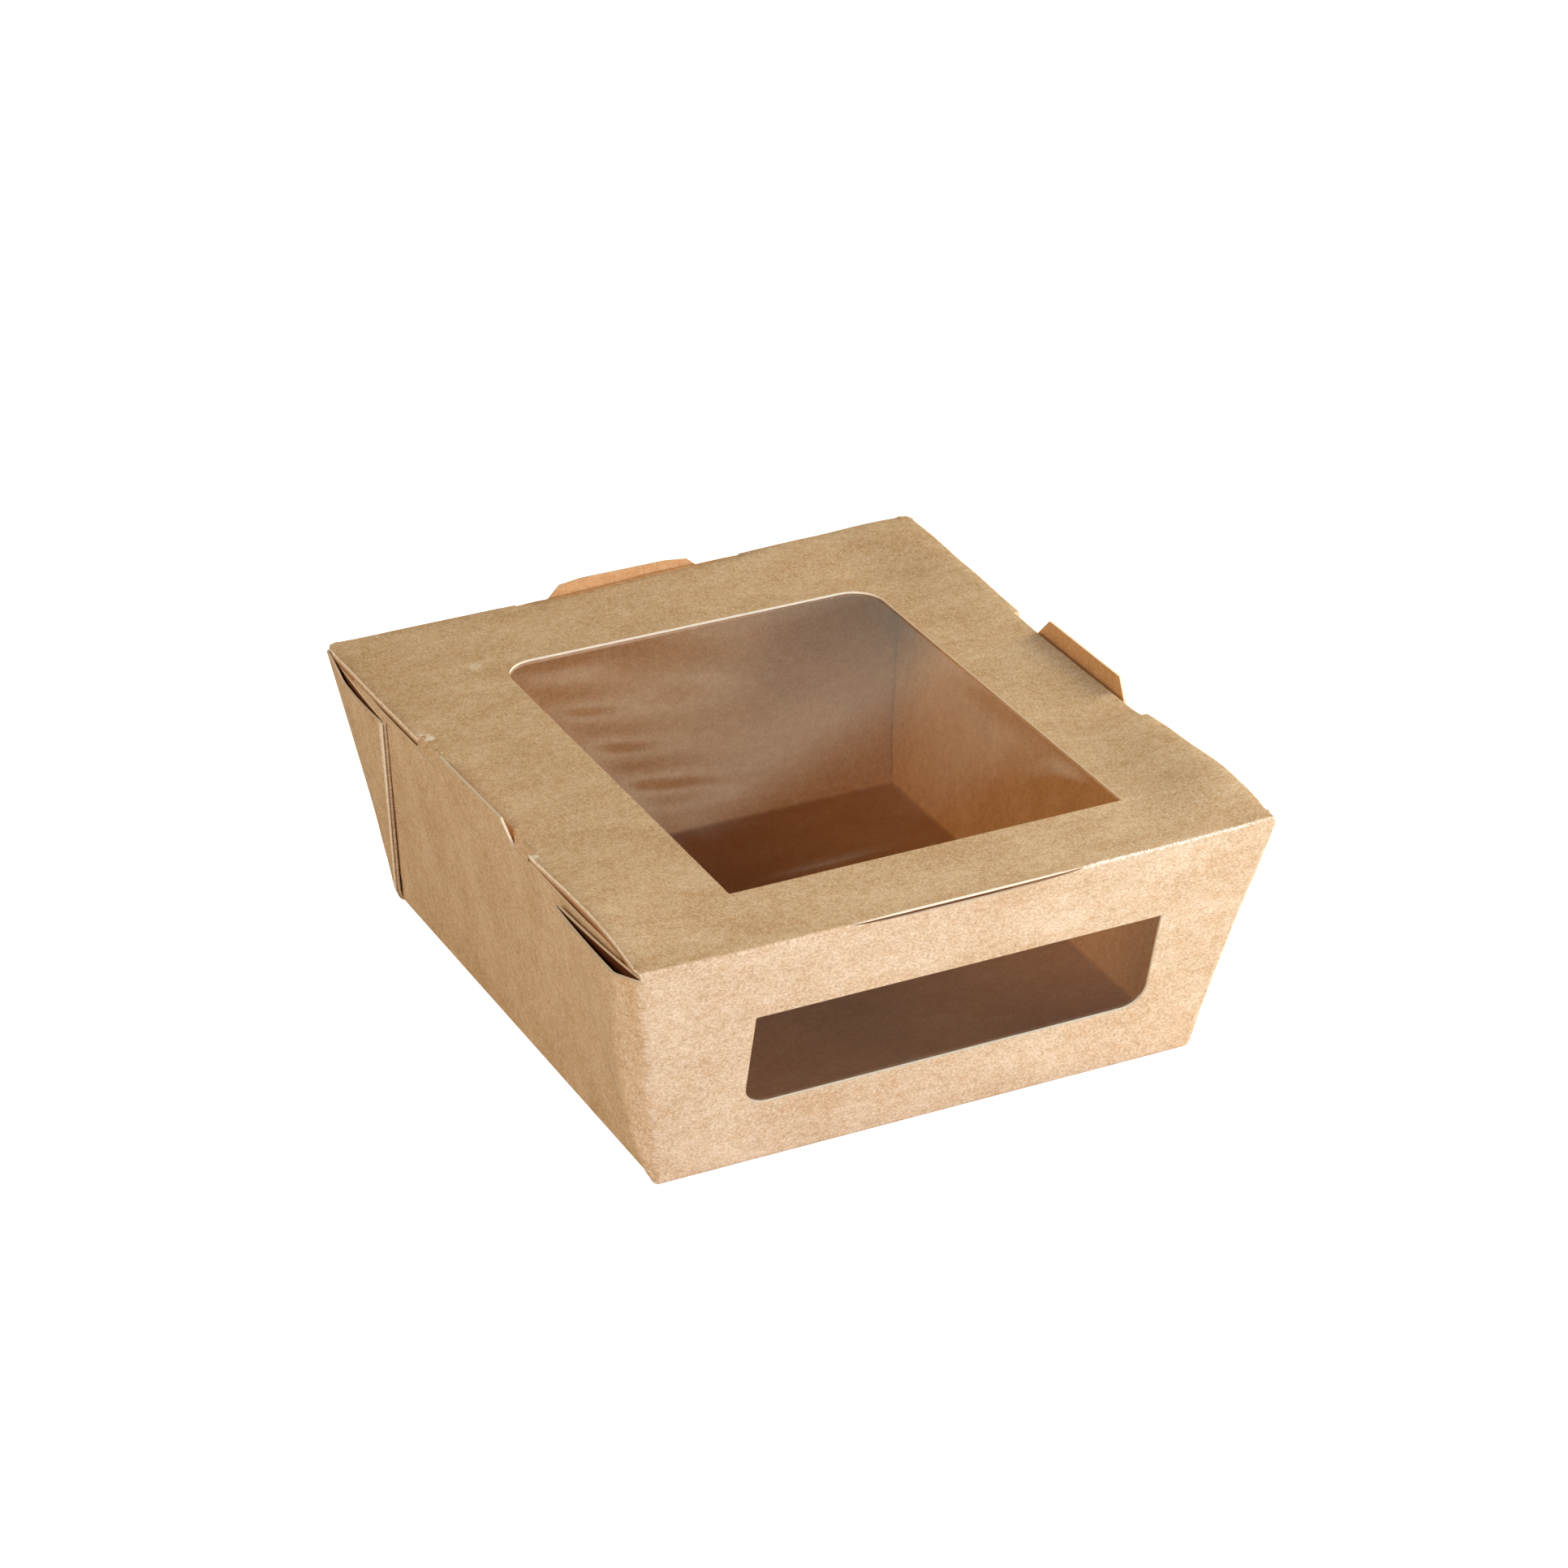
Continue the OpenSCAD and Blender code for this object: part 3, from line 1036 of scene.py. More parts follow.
@dataclass
class Tray:
    """The tray: base, front panel, back wall, side walls and four corner webs."""

    sizes: BoxSizes
    warp: Warp
    window: WindowCut
    finishes: Finishes
    fold_r: float = 0.8
    pitch: float = 5.0
    webs: dict[tuple[int, int], Web] = field(init=False)

    def __post_init__(self) -> None:
        """Set the four webs as the photograph shows them."""
        plain = dict(sizes=self.sizes)
        self.webs = {
            (-1, -1): Web(side=-1, end=-1, reach=34.4, tip_z=53.1, pocket=2.1, **plain),
            (-1, 1): Web(
                side=-1, end=1, reach=31.4, tip_z=53.0, corner_z=55.3, pocket=0.5, crease=9.0, dip=1.5, worn=1.0,
                **plain,
            ),
            (1, -1): Web(side=1, end=-1, pocket=0.7, corner_z=55.3, hold=0.6, **plain),
            (1, 1): Web(side=1, end=1, pocket=0.5, **plain),
        }

    def wall_out(self, side: int, y: float, z: float) -> float:
        """How far a side wall stands off its plane, webs and warp together."""
        curve = self.warp.right_wall if side > 0 else self.warp.left_wall
        away = self.sizes.front_mid(z) - abs(y)
        web = self.webs[(side, 1 if y > 0 else -1)]
        rise = smooth(z / self.sizes.rim_z) ** 1.5
        return profile(curve, y) * rise - web.pinch(max(away, 0.0), z)

    def levels(self) -> list[float]:
        """Heights of the rows on the front panel, from the base fold up."""
        lean = math.cos(self.sizes.front_lean)
        low = (self.sizes.front_slant - self.window.far) * lean
        high = (self.sizes.front_slant - self.window.near) * lean
        start = self.sizes.board / 2 + self.fold_r
        heights = [start] + spread(start, low, 2.6)
        heights += [low + inset * lean for inset in self.window.insets()[1:]]
        heights += spread(heights[-1], high, 3.0)
        self.window_rows = (heights.index(high), heights.index(low))
        return heights + spread(high, self.sizes.seam_z, 2.2)

    def across(self) -> list[float]:
        """Places of the upright columns across the middle of the front panel."""
        insets = self.window.insets()
        left = [self.window.left + inset for inset in insets]
        right = [self.window.right - inset for inset in reversed(insets)]
        places = [-50.0, left[0]] + left[1:] + spread(left[-1], right[0], self.pitch) + right[1:]
        self.window_places = (left[0], right[-1])
        return places + [50.0]

    def end_columns(self, end: int) -> list[Column]:
        """Columns of the front panel or back wall, from left to right.

        Args:
            end: -1 for the front panel, 1 for the back wall.

        Returns:
            The columns, the first and last at the corner webs.
        """
        sizes, warp = self.sizes, self.warp

        def edge(side: int, z: float) -> float:
            """Half-width of the flat panel at height z, where the corner's bend begins."""
            web = self.webs[(side, end)]
            return abs(web.place(web.section(z)[0], z)[0])

        def point(x: float, z: float) -> Pair:
            """Place on the panel's middle surface."""
            bow = warp.front_bow(x, z, sizes.seam_z) if end < 0 else 0.0
            return (x, end * (sizes.front_mid(z) + bow))

        def blank(place: Sequence[float]) -> Pair:
            """Flat place: fibres run across the panel."""
            return (place[0] + (0 if end < 0 else 300), place[2] / math.cos(sizes.front_lean))

        inner = self.across() if end < 0 else [-50.0] + spread(-50.0, 50.0, self.pitch)
        columns = []
        for side in (-1, 1):
            shares = [0.985, 0.8, 0.6, 0.4, 0.2] if side < 0 else [0.2, 0.4, 0.6, 0.8, 0.985]
            if side > 0:
                columns += [Column(lambda z, x=x: point(x, z), self.end_top(end, x), blank) for x in inner]
            for share in shares:
                at = lambda z, s=side, f=share: point(s * mix(50.0, edge(s, z), f), z)
                columns.append(Column(at, self.end_top(end, side * mix(50.0, 68.0, share)), blank))
        return columns

    def end_top(self, end: int, x: float) -> float:
        """Height of the top edge of the front panel or back wall at x."""
        if end < 0:
            return self.sizes.seam_z - profile(self.warp.crease_drop, x)
        return self.rim_top(x)

    def rim_top(self, along: float) -> float:
        """Height of a rim at a distance from the middle of its wall, its tab with it."""
        foot, top = self.sizes.tab_foot / 2, self.sizes.tab_top / 2
        share = min(max((foot - abs(along)) / (foot - top), 0.0), 1.0)
        return self.sizes.rim_z + self.sizes.tab_rise * math.cos(self.sizes.side_lean) * share

    def side_columns(self, side: int) -> list[Column]:
        """Columns of a side wall, from the front to the back.

        Args:
            side: -1 for the left wall, 1 for the right.

        Returns:
            The columns between the two corner webs.
        """
        sizes = self.sizes
        half = sizes.front_mid(sizes.rim_z)
        foot, top = sizes.tab_foot / 2, sizes.tab_top / 2
        places = [-half] + spread(-half, -foot, self.pitch) + spread(-foot, -top, 2.2)
        places += spread(-top, top, self.pitch) + spread(top, foot, 2.2) + spread(foot, half, self.pitch)
        columns = []
        for rim_y in places:
            def at(z: float, share: float = rim_y / half) -> Pair:
                """Place on the wall's middle surface at height z."""
                end = 1 if share > 0 else -1
                reach = sizes.front_mid(z) - self.webs[(side, end)].stand_off(z)
                y = share * reach
                return (side * (sizes.side_mid(z) + self.wall_out(side, y, z)), y)

            def blank(place: Sequence[float]) -> Pair:
                """Flat place: fibres run up the wall."""
                return (place[2] / math.cos(sizes.side_lean) + side * 500, place[1])

            columns.append(Column(at, self.rim_top(rim_y), blank))
        return columns

    def web_columns(self, side: int, end: int) -> list[Column]:
        """Columns of a corner web, from the end panel to the side wall.

        Args:
            side: -1 for left, 1 for right.
            end: -1 for front, 1 for back.

        Returns:
            The columns in the order of the web's section.
        """
        web = self.webs[(side, end)]

        def blank(place: Sequence[float]) -> Pair:
            """Flat place: fibres run up the leaf."""
            return (place[2] + side * 800, place[1] + 200)

        tops, cracks = web.tops(), web.cracks()
        corner = (side * (self.sizes.base_w / 2 - 1.05), end * (self.sizes.base_d / 2 - 1.05))
        columns = []
        for number in range(len(tops)):
            at = lambda z, n=number: web.place(web.section(z)[n], z)
            # Painted shade: the inner face of the web, in its pocket, is painted dark; the last four points turn into
            # the side wall and stay plain.
            shade = -float(0 < number < len(tops) - 4)
            columns.append(Column(at, tops[number], blank, cracks[number], shade, corner))
        return columns

    def spot(self, column: Column, level: float) -> Spot:
        """Fold one point of a column at a row's level.

        Args:
            column: the upright line.
            level: height of the row on the front panel.

        Returns:
            The spot, scaled to the column's own top.
        """
        start = self.sizes.board / 2 + self.fold_r
        z = start + (level - start) * (column.top - start) / (self.sizes.seam_z - start)
        x, y = column.at(z)
        place = (x, y, z)
        down = self.sizes.front_slant - z / math.cos(self.sizes.front_lean)
        # Painted highlight: the board round the front window's cut edge gets the paler edge cream.
        painted_highlight = self.window.near_cut(x, down) if y < -self.sizes.base_d / 2 else 0.0
        # Painted shade: the inner face is painted a touch darker below the rim.
        inside = -0.02 * smooth((self.sizes.rim_z - 1 - z) / 6)
        return Spot(place, column.blank(place), column.crack, painted_highlight, min(column.shade, inside))

    def base_spot(self, column: Column, share: float) -> Spot:
        """Fold one point of the bend between the base and a wall.

        Args:
            column: the upright line above it.
            share: 0 on the base, 1 on the wall.

        Returns:
            The spot on the bend.
        """
        floor = self.sizes.board / 2
        foot = column.at(floor)
        wall = column.at(floor + self.fold_r)
        inner = column.corner or (foot[0] * (1 - self.fold_r / 59), foot[1] * (1 - self.fold_r / 63))
        x, y = between(between(inner, foot, share), between(foot, wall, share), share)
        z = floor + self.fold_r * share * share
        place = (x, y, z)
        # Painted shade: the base's inner face is painted darker than the walls.
        return Spot(place, column.blank(place), column.crack * share, 0.0, -0.4)

    def ring(self) -> list[Column]:
        """All columns round the tray, anticlockwise from the front left corner."""
        front, back = self.end_columns(-1), self.end_columns(1)
        ring = list(front)
        ring += self.web_columns(1, -1) + self.side_columns(1) + self.web_columns(1, 1)[::-1]
        ring += back[::-1]
        ring += self.web_columns(-1, 1) + self.side_columns(-1)[::-1] + self.web_columns(-1, -1)[::-1]
        return ring + front[:1]

    def build(self) -> bpy.types.Object:
        """Fold the tray, close its base and dress it.

        Returns:
            The finished piece.
        """
        ring = self.ring()
        levels = self.levels()
        bends = [self_share / 4 for self_share in range(4)]
        plan = [[self.base_spot(column, share) for column in ring] for share in bends]
        plan += [[self.spot(column, level) for column in ring] for level in levels]
        sheet = Sheet("tray_board", plan)
        first = 5
        places = self.across()
        left = first + places.index(self.window_places[0])
        right = first + places.index(self.window_places[1])
        near, far = (row + len(bends) for row in self.window_rows)
        sheet.punch(self.window, left, right, near, far)
        sheet.fold()
        self.close_base(sheet.piece)
        sheet.thicken(self.sizes.board, self.finishes.board)
        return sheet.rest_on("tray", ["tray"])

    def close_base(self, piece: bpy.types.Object) -> None:
        """Fill the base inside the bend and turn all faces outwards.

        Args:
            piece: the folded walls.
        """
        floor = (self.sizes.board / 2 + 0.01) * MM
        start_edit(piece, "EDGE")
        for edge in piece.data.edges:
            edge.select = all(piece.data.vertices[v].co.z < floor for v in edge.vertices)
        edit(bpy.ops.mesh.edge_face_add, lambda: bpy.ops.mesh.inset(thickness=0.4 * MM))
        layer = piece.data.uv_layers["blank"]
        for polygon in piece.data.polygons:
            if polygon.center.z < floor:
                for loop in polygon.loop_indices:
                    spot = piece.data.vertices[piece.data.loops[loop].vertex_index].co
                    layer.data[loop].uv = (spot.x, spot.y - self.sizes.base_d * MM)
        start_edit(piece, "FACE")
        edit(
            lambda: bpy.ops.mesh.select_all(action="SELECT"),
            lambda: bpy.ops.mesh.normals_make_consistent(inside=False),
        )
        base = min(piece.data.polygons, key=lambda polygon: polygon.center.z - polygon.area)
        if base.normal.z > 0:
            edit(lambda: bpy.ops.mesh.select_all(action="SELECT"), bpy.ops.mesh.flip_normals)


@dataclass(frozen=True)
class FoldEdge:
    """The fold of the lid's panel at one place along an edge."""

    edge: float
    radius: float
    lift: float


@dataclass
class Lid:
    """The lid's panel with its window, and three tuck flaps folded down from it."""

    sizes: BoxSizes
    warp: Warp
    window: WindowCut
    finishes: Finishes
    pitch: float = 4.5
    bend_steps: int = 5
    fold_r: float = 0.4
    recess_r: float = 1.7
    recess_in: float = 0.0
    corner_r: float = 2.0
    cut: float = 0.04
    left_recess: Pair = (-25.6, 29.1)
    right_recess: Pair = (-28.3, 25.7)
    back_recess: Pair = (-26.0, 27.0)

    def flap_depths(self) -> list[float]:
        """Distances past a fold's start of the points of its bend and flap."""
        bend = (self.fold_r - self.sizes.board / 2) * (math.pi / 2 + self.sizes.side_lean + self.sizes.flap_tuck)
        return spread(0.0, bend, bend / self.bend_steps) + spread(bend, self.sizes.flap_depth, 2.4)

    def over_edge(self, past: float, radius: float, lean: float) -> Pair:
        """Fold a flap down past the start of its bend.

        Args:
            past: distance past the start of the bend, along the board.
            radius: outer radius of the fold.
            lean: how far the flap leans inwards from upright.

        Returns:
            Distance outwards and distance down from the start of the bend.
        """
        mid = radius - self.sizes.board / 2
        turn = math.pi / 2 + lean
        angle = min(past / mid, turn)
        out, down = mid * math.sin(angle), mid * (1 - math.cos(angle))
        rest = max(past - mid * turn, 0.0)
        return (out + rest * math.cos(turn), down + rest * math.sin(turn))

    def recess_share(self, at: float, recess: Pair) -> float:
        """1 inside the set-back stretch of a fold and 0 outside it."""
        return float(recess[0] <= at <= recess[1])

    def fold_at(self, at: float, recess: Pair, inset: float) -> Pair:
        """Inset of a fold's outer face and its outer radius at one place.

        Args:
            at: place along the fold.
            recess: ends of the set-back stretch.
            inset: how far the fold lies inside its straight line there.

        Returns:
            The inset and the radius.
        """
        share = self.recess_share(at, recess)
        return (inset + share * self.recess_in, mix(self.fold_r, self.recess_r, share))

    def stations(self, low: float, high: float, marks: Sequence[float]) -> list[float]:
        """Places across the panel between two ends, with a point at every mark.

        Args:
            low: first place.
            high: last place.
            marks: places that must have a point.

        Returns:
            The places in rising order.
        """
        places = [low]
        for mark in sorted(marks) + [high]:
            if mark > places[-1] + self.cut / 2:
                places += spread(places[-1], mark, self.pitch)
        return places

    def flap_ends(self) -> tuple[Pair, Pair]:
        """Ends of the side flaps in Y and of the back flap in X."""
        gap = self.sizes.flap_end
        front = -self.sizes.top_d / 2 + self.sizes.crease_r + gap
        return ((front, self.sizes.lid_back - gap), (gap - self.sizes.lid_half, self.sizes.lid_half - gap))

    def build(self) -> bpy.types.Object:
        """Lay the lid out, cut it, fold it and dress it.

        Returns:
            The finished piece.
        """
        sizes, window, cut = self.sizes, self.window, self.cut
        side_ends, back_ends = self.flap_ends()
        insets = window.insets()
        steps_x = [window.left + inset for inset in insets] + [window.right - inset for inset in insets]
        steps_y = [window.near] + [window.far - inset for inset in insets]
        slits_x = [x for end in back_ends + self.back_recess for x in (end - cut, end + cut)]
        slits_y = [y for end in side_ends + self.left_recess + self.right_recess for y in (end - cut, end + cut)]
        self.start_x = sizes.lid_half - self.fold_r
        self.start_y = sizes.lid_back - self.fold_r
        xs = self.stations(-self.start_x, self.start_x, steps_x + slits_x)
        ys = self.stations(sizes.seam_y, self.start_y, steps_y + slits_y)
        depths = self.flap_depths()
        across = [-self.start_x - d for d in reversed(depths)] + xs + [self.start_x + d for d in depths]
        along = ys + [self.start_y + d for d in depths]
        plan = [[self.spot(x, y) for x in across] for y in along]
        sheet = Sheet("lid_board", plan)
        flap = len(depths) - self.bend_steps
        last, top = len(across) - 1, len(ys) - 1 + self.bend_steps
        near_flap = [number for number, y in enumerate(along) if side_ends[0] < y < side_ends[1]]
        mid_flap = [number for number, x in enumerate(across) if back_ends[0] < x < back_ends[1]]
        sheet.drop(lambda c: (c.x < flap or c.x > last - flap) and not near_flap[0] < c.y < near_flap[-1])
        sheet.drop(lambda c: c.y > top and not mid_flap[0] < c.x < mid_flap[-1])
        sheet.punch(
            window, self.index_of(across, window.left), self.index_of(across, window.right),
            self.index_of(along, window.near), self.index_of(along, window.far),
        )
        sheet.fold()
        sheet.thicken(sizes.board, self.finishes.board)
        return sheet.rest_on("lid", ["lid"])

    @staticmethod
    def index_of(places: Sequence[float], at: float) -> int:
        """Number of the place nearest to a value."""
        return min(range(len(places)), key=lambda number: abs(places[number] - at))

    def spot(self, x: float, y: float) -> Spot:
        """Fold one point of the lid's flat plan.

        Args:
            x: flat place across the lid.
            y: flat place in depth.

        Returns:
            The folded spot with its wear.
        """
        sizes, warp = self.sizes, self.warp
        side_ends, back_ends = self.flap_ends()
        blank = (x, sizes.front_slant + y - sizes.crease_y + sizes.crease_half)
        side = 1 if x > 0 else -1
        past_x, past_y = abs(x) - self.start_x, y - self.start_y
        crack = 0.0
        if past_x > 0 and side_ends[0] < y < side_ends[1]:
            recess = self.right_recess if side > 0 else self.left_recess
            inset, radius = self.fold_at(y, recess, profile(warp.left_inset if side < 0 else warp.right_inset, y))
            out, down = self.over_edge(past_x, radius, sizes.side_lean + sizes.flap_tuck)
            middle, half = sum(side_ends) / 2, (side_ends[1] - side_ends[0]) / 2
            taper = max(past_x - 1.0, 0.0) * math.tan(sizes.flap_taper)
            y = middle + (y - middle) * (half - taper) / half
            edge = sizes.lid_half - inset - radius
            x = side * (edge + out)
            lift = warp.lid_lift(side * edge, y, sizes)
            crack = self.fold_wear(past_x, radius) * (0.3 if side > 0 else 1.0)
            # The side flap gets painted shade just below its fold.
            return Spot((x, y, sizes.lid_z + lift - down), blank, crack, shade=self.fold_shade(past_x, radius))
        if past_y > 0 and back_ends[0] < x < back_ends[1]:
            inset, radius = self.fold_at(x, self.back_recess, 0.0)
            out, down = self.over_edge(past_y, radius, sizes.front_lean + sizes.flap_tuck)
            half = back_ends[1]
            taper = max(past_y - 1.0, 0.0) * math.tan(sizes.flap_taper)
            edge = sizes.lid_back - inset - radius
            lift = warp.lid_lift(x, edge, sizes)
            crack = self.fold_wear(past_y, radius)
            place = (x * (half - taper) / half, edge + out, sizes.lid_z + lift - down)
            # The back flap gets painted shade just below its fold.
            return Spot(place, blank, crack, shade=self.fold_shade(past_y, radius))
        if not side_ends[0] < y < side_ends[1]:
            x += side * 0.8 * self.fold_r * smooth((past_x + 3) / 3)
        if not back_ends[0] < x < back_ends[1]:
            y += 0.8 * self.fold_r * smooth((past_y + 3) / 3)
        x, y = self.round_corner(x, y)
        shift = self.inward(x, y)
        x -= side * shift * smooth((abs(x) - 46) / 22)
        lift = warp.lid_lift(x, y, sizes)
        y -= warp.lid_forward(x, y, sizes)
        # Painted highlight round the lid window's cut edge.
        return Spot((x, y, sizes.lid_z + lift), blank, crack, self.window.near_cut(x, y))

    def inward(self, x: float, y: float) -> float:
        """How far the panel's side margin is drawn in to meet its fold."""
        recess = self.right_recess if x > 0 else self.left_recess
        inset = profile(self.warp.left_inset if x < 0 else self.warp.right_inset, y)
        inset, radius = self.fold_at(y, recess, inset)
        return inset + radius - self.fold_r

    def fold_wear(self, past: float, radius: float) -> float:
        """Cream wear along a sharp fold, none where the board bends softly."""
        return 0.85 * max(1 - abs(past - self.sizes.board / 3) / 0.22, 0.0) if radius < 1 else 0.0

    def fold_shade(self, past: float, radius: float) -> float:
        """Painted shade on a flap just below its fold, for the shade between the lid and the walls; it starts lower on
        a soft bend.
        """
        start, reach = (0.2, 1.0) if radius < 1 else (2.6, 2.0)
        return smooth((past - start) / reach) * smooth((7.5 - past) / 2.5)

    def round_corner(self, x: float, y: float) -> Pair:
        """Pull a point inside the rounded back corners of the panel."""
        cx = self.sizes.lid_half - self.corner_r
        cy = self.sizes.lid_back - self.corner_r
        dx, dy = abs(x) - cx, y - cy
        away = math.hypot(dx, dy)
        if dx > 0 and dy > 0 and away > self.corner_r:
            dx, dy = dx * self.corner_r / away, dy * self.corner_r / away
        return (math.copysign(cx + dx, x), cy + dy)


@dataclass
class Crease:
    """The front crease that the lid turns on, slit open along its middle."""

    sizes: BoxSizes
    warp: Warp
    finishes: Finishes
    slit: Pair = (-24.6, 25.4)
    slit_gap: float = 0.75
    half_width: float = 68.25
    draw_in: float = 0.4
    pitch: float = 3.0

    def reaches(self) -> list[float]:
        """Distances from the middle of the crease along the board, the middle twice."""
        half = self.sizes.crease_half
        flat = self.sizes.crease_reach
        up = [0.0, half / 3, 2 * half / 3, half, half + 0.4, half + 0.9, flat]
        return [-reach for reach in reversed(up)] + up

    def bend_place(self, reach: float) -> Pair:
        """Place in Y and Z on the round crease.

        Args:
            reach: signed distance from its middle, positive on the lid.

        Returns:
            The place in the middle of the board.
        """
        sizes = self.sizes
        half, lean = sizes.crease_half, sizes.front_lean
        angle = -lean + sizes.crease_turn * min(max((reach + half) / (2 * half), 0.0), 1.0)
        y = sizes.crease_y - sizes.mid_r * math.cos(angle)
        z = sizes.crease_z + sizes.mid_r * math.sin(angle)
        if reach < -half:
            down = -half - reach
            return (y + down * math.sin(lean), z - down * math.cos(lean))
        return (y + max(reach - half, 0.0), z)

    def open_place(self, reach: float, on_lid: bool) -> Pair:
        """Place in Y and Z where the slit is open and both boards run on straight.

        Args:
            reach: signed distance from the middle of the crease.
            on_lid: whether the point belongs to the lid's edge.

        Returns:
            The place in the middle of the board.
        """
        sizes = self.sizes
        share = 1 - abs(reach) / sizes.crease_reach
        if on_lid:
            return (sizes.crease_y + reach - sizes.crease_half + 0.1 * share, sizes.lid_z)
        down = -sizes.crease_half - reach + (self.slit_gap + 0.16) * share
        foot_y = sizes.crease_y - sizes.mid_r * math.cos(sizes.front_lean)
        foot_z = sizes.crease_z - sizes.mid_r * math.sin(sizes.front_lean)
        return (foot_y + down * math.sin(sizes.front_lean), foot_z - down * math.cos(sizes.front_lean))

    def open_share(self, x: float) -> float:
        """How open the slit is at x, 0 at its ends and 1 in the middle."""
        middle, half = sum(self.slit) / 2, (self.slit[1] - self.slit[0]) / 2
        off = (x - middle) / half
        return math.sqrt(max(1 - off * off, 0.0)) if abs(off) < 1 else 0.0

    def wear(self, x: float, reach: float) -> float:
        """Cracked cream core along the crease, strongest right of the slit."""
        along = profile(
            ((-68.0, 0.5), (-60.0, 0.3), (-26.0, 0.36), (24.0, 0.4), (27.0, 0.72), (60.0, 0.68), (68.0, 0.5)), x
        )
        return along * max(1 - abs(reach) / 0.5, 0.0)

    def build(self) -> bpy.types.Object:
        """Bend the crease and open its slit.

        Returns:
            The finished piece.
        """
        sizes, warp = self.sizes, self.warp
        xs = [-self.half_width]
        for mark in (self.slit[0], self.slit[0] + 1.0, self.slit[1] - 1.0, self.slit[1], self.half_width):
            xs += spread(xs[-1], mark, self.pitch)
        reaches = self.reaches()
        split = len(reaches) // 2
        plan: Plan = []
        for number, reach in enumerate(reaches):
            row = []
            drawn_in = self.draw_in * smooth(-reach / sizes.crease_reach) / self.half_width
            for flat_x in xs:
                x = flat_x * (1 - drawn_in)
                share = self.open_share(x)
                y, z = between(self.bend_place(reach), self.open_place(reach, number >= split), share)
                y -= profile(warp.crease_forward, x)
                z -= profile(warp.crease_drop, x)
                row.append(Spot((x, y, z), (x, sizes.front_slant + reach), self.wear(x, reach)))
            plan.append(row)
        sheet = Sheet("crease_board", plan)
        inside = [number for number, x in enumerate(xs) if self.slit[0] <= x <= self.slit[1]]
        sheet.drop(lambda c: split - 1 < c.y < split and inside[0] < c.x < inside[-1])
        sheet.fold()
        sheet.thicken(sizes.board, self.finishes.board)
        piece = sheet.piece
        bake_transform(piece)
        LOG.info("%s: %d faces between tray and lid", piece.name, len(piece.data.polygons))
        return piece

    def way(self, end: int) -> tuple[float, float, float]:
        """Start or end of the bend in metres: the front panel's seam or the lid's."""
        y, z = self.bend_place(end * self.sizes.crease_reach)
        return (0.0, y * MM, z * MM)


@dataclass
class WindowFilm:
    """One pane of clear film glued behind a window."""

    name: str
    window: WindowCut
    place: Callable[[float, float], tuple[float, float, float]]
    lap: float = 6.0
    near_lap: float = 6.0
    film: float = 0.1
    pitch: float = 3.0
    ripple: float = 0.0
    dents: tuple[tuple[float, float, float, float], ...] = ()

    def build(self, finishes: Finishes, body: str, node: str) -> bpy.types.Object:
        """Lay the film behind its window and let it ripple a little.

        Args:
            finishes: the box's materials.
            body: CAD body that carries it.
            node: CAD node that it stands for.

        Returns:
            The finished piece.
        """
        window = self.window
        left, right = window.left - self.lap, window.right + self.lap
        near, far = window.near - self.near_lap, window.far + self.lap
        xs = [left] + spread(left, right, self.pitch)
        ys = [near] + spread(near, far, self.pitch)
        plan = [[self.spot(x, y) for x in xs] for y in ys]
        sheet = Sheet(self.name, plan)
        sheet.fold()
        sheet.thicken(self.film, (finishes.film,))
        return sheet.rest_on(body, [node])

    def spot(self, x: float, y: float) -> Spot:
        """Place one point of the film, free to bulge only where nothing holds it."""
        window = self.window
        inner = min(x - window.left, window.right - x, y - window.near, window.far - y)
        bulge = self.ripple * math.sin(y / 2.8 + x / 12.0) * smooth(-(x + 12) / 24) * smooth((y + 26) / 14)
        bulge += self.ripple * math.sin(x / 15.0 - y / 11.0 + 1.2)
        for dent_x, dent_y, radius, height in self.dents:
            bulge += height * smooth(1 - math.hypot(x - dent_x, y - dent_y) / radius)
        px, py, pz = self.place(x, y)
        return Spot((px, py, pz + bulge * smooth((inner + 1) / 7.0)), (x, y))


@dataclass(frozen=True)
class Lamp:
    """A soft studio lamp, aimed at the middle of the box."""

    name: str
    azimuth: float
    elevation: float
    distance: float
    size: float
    power: float
    colour: str


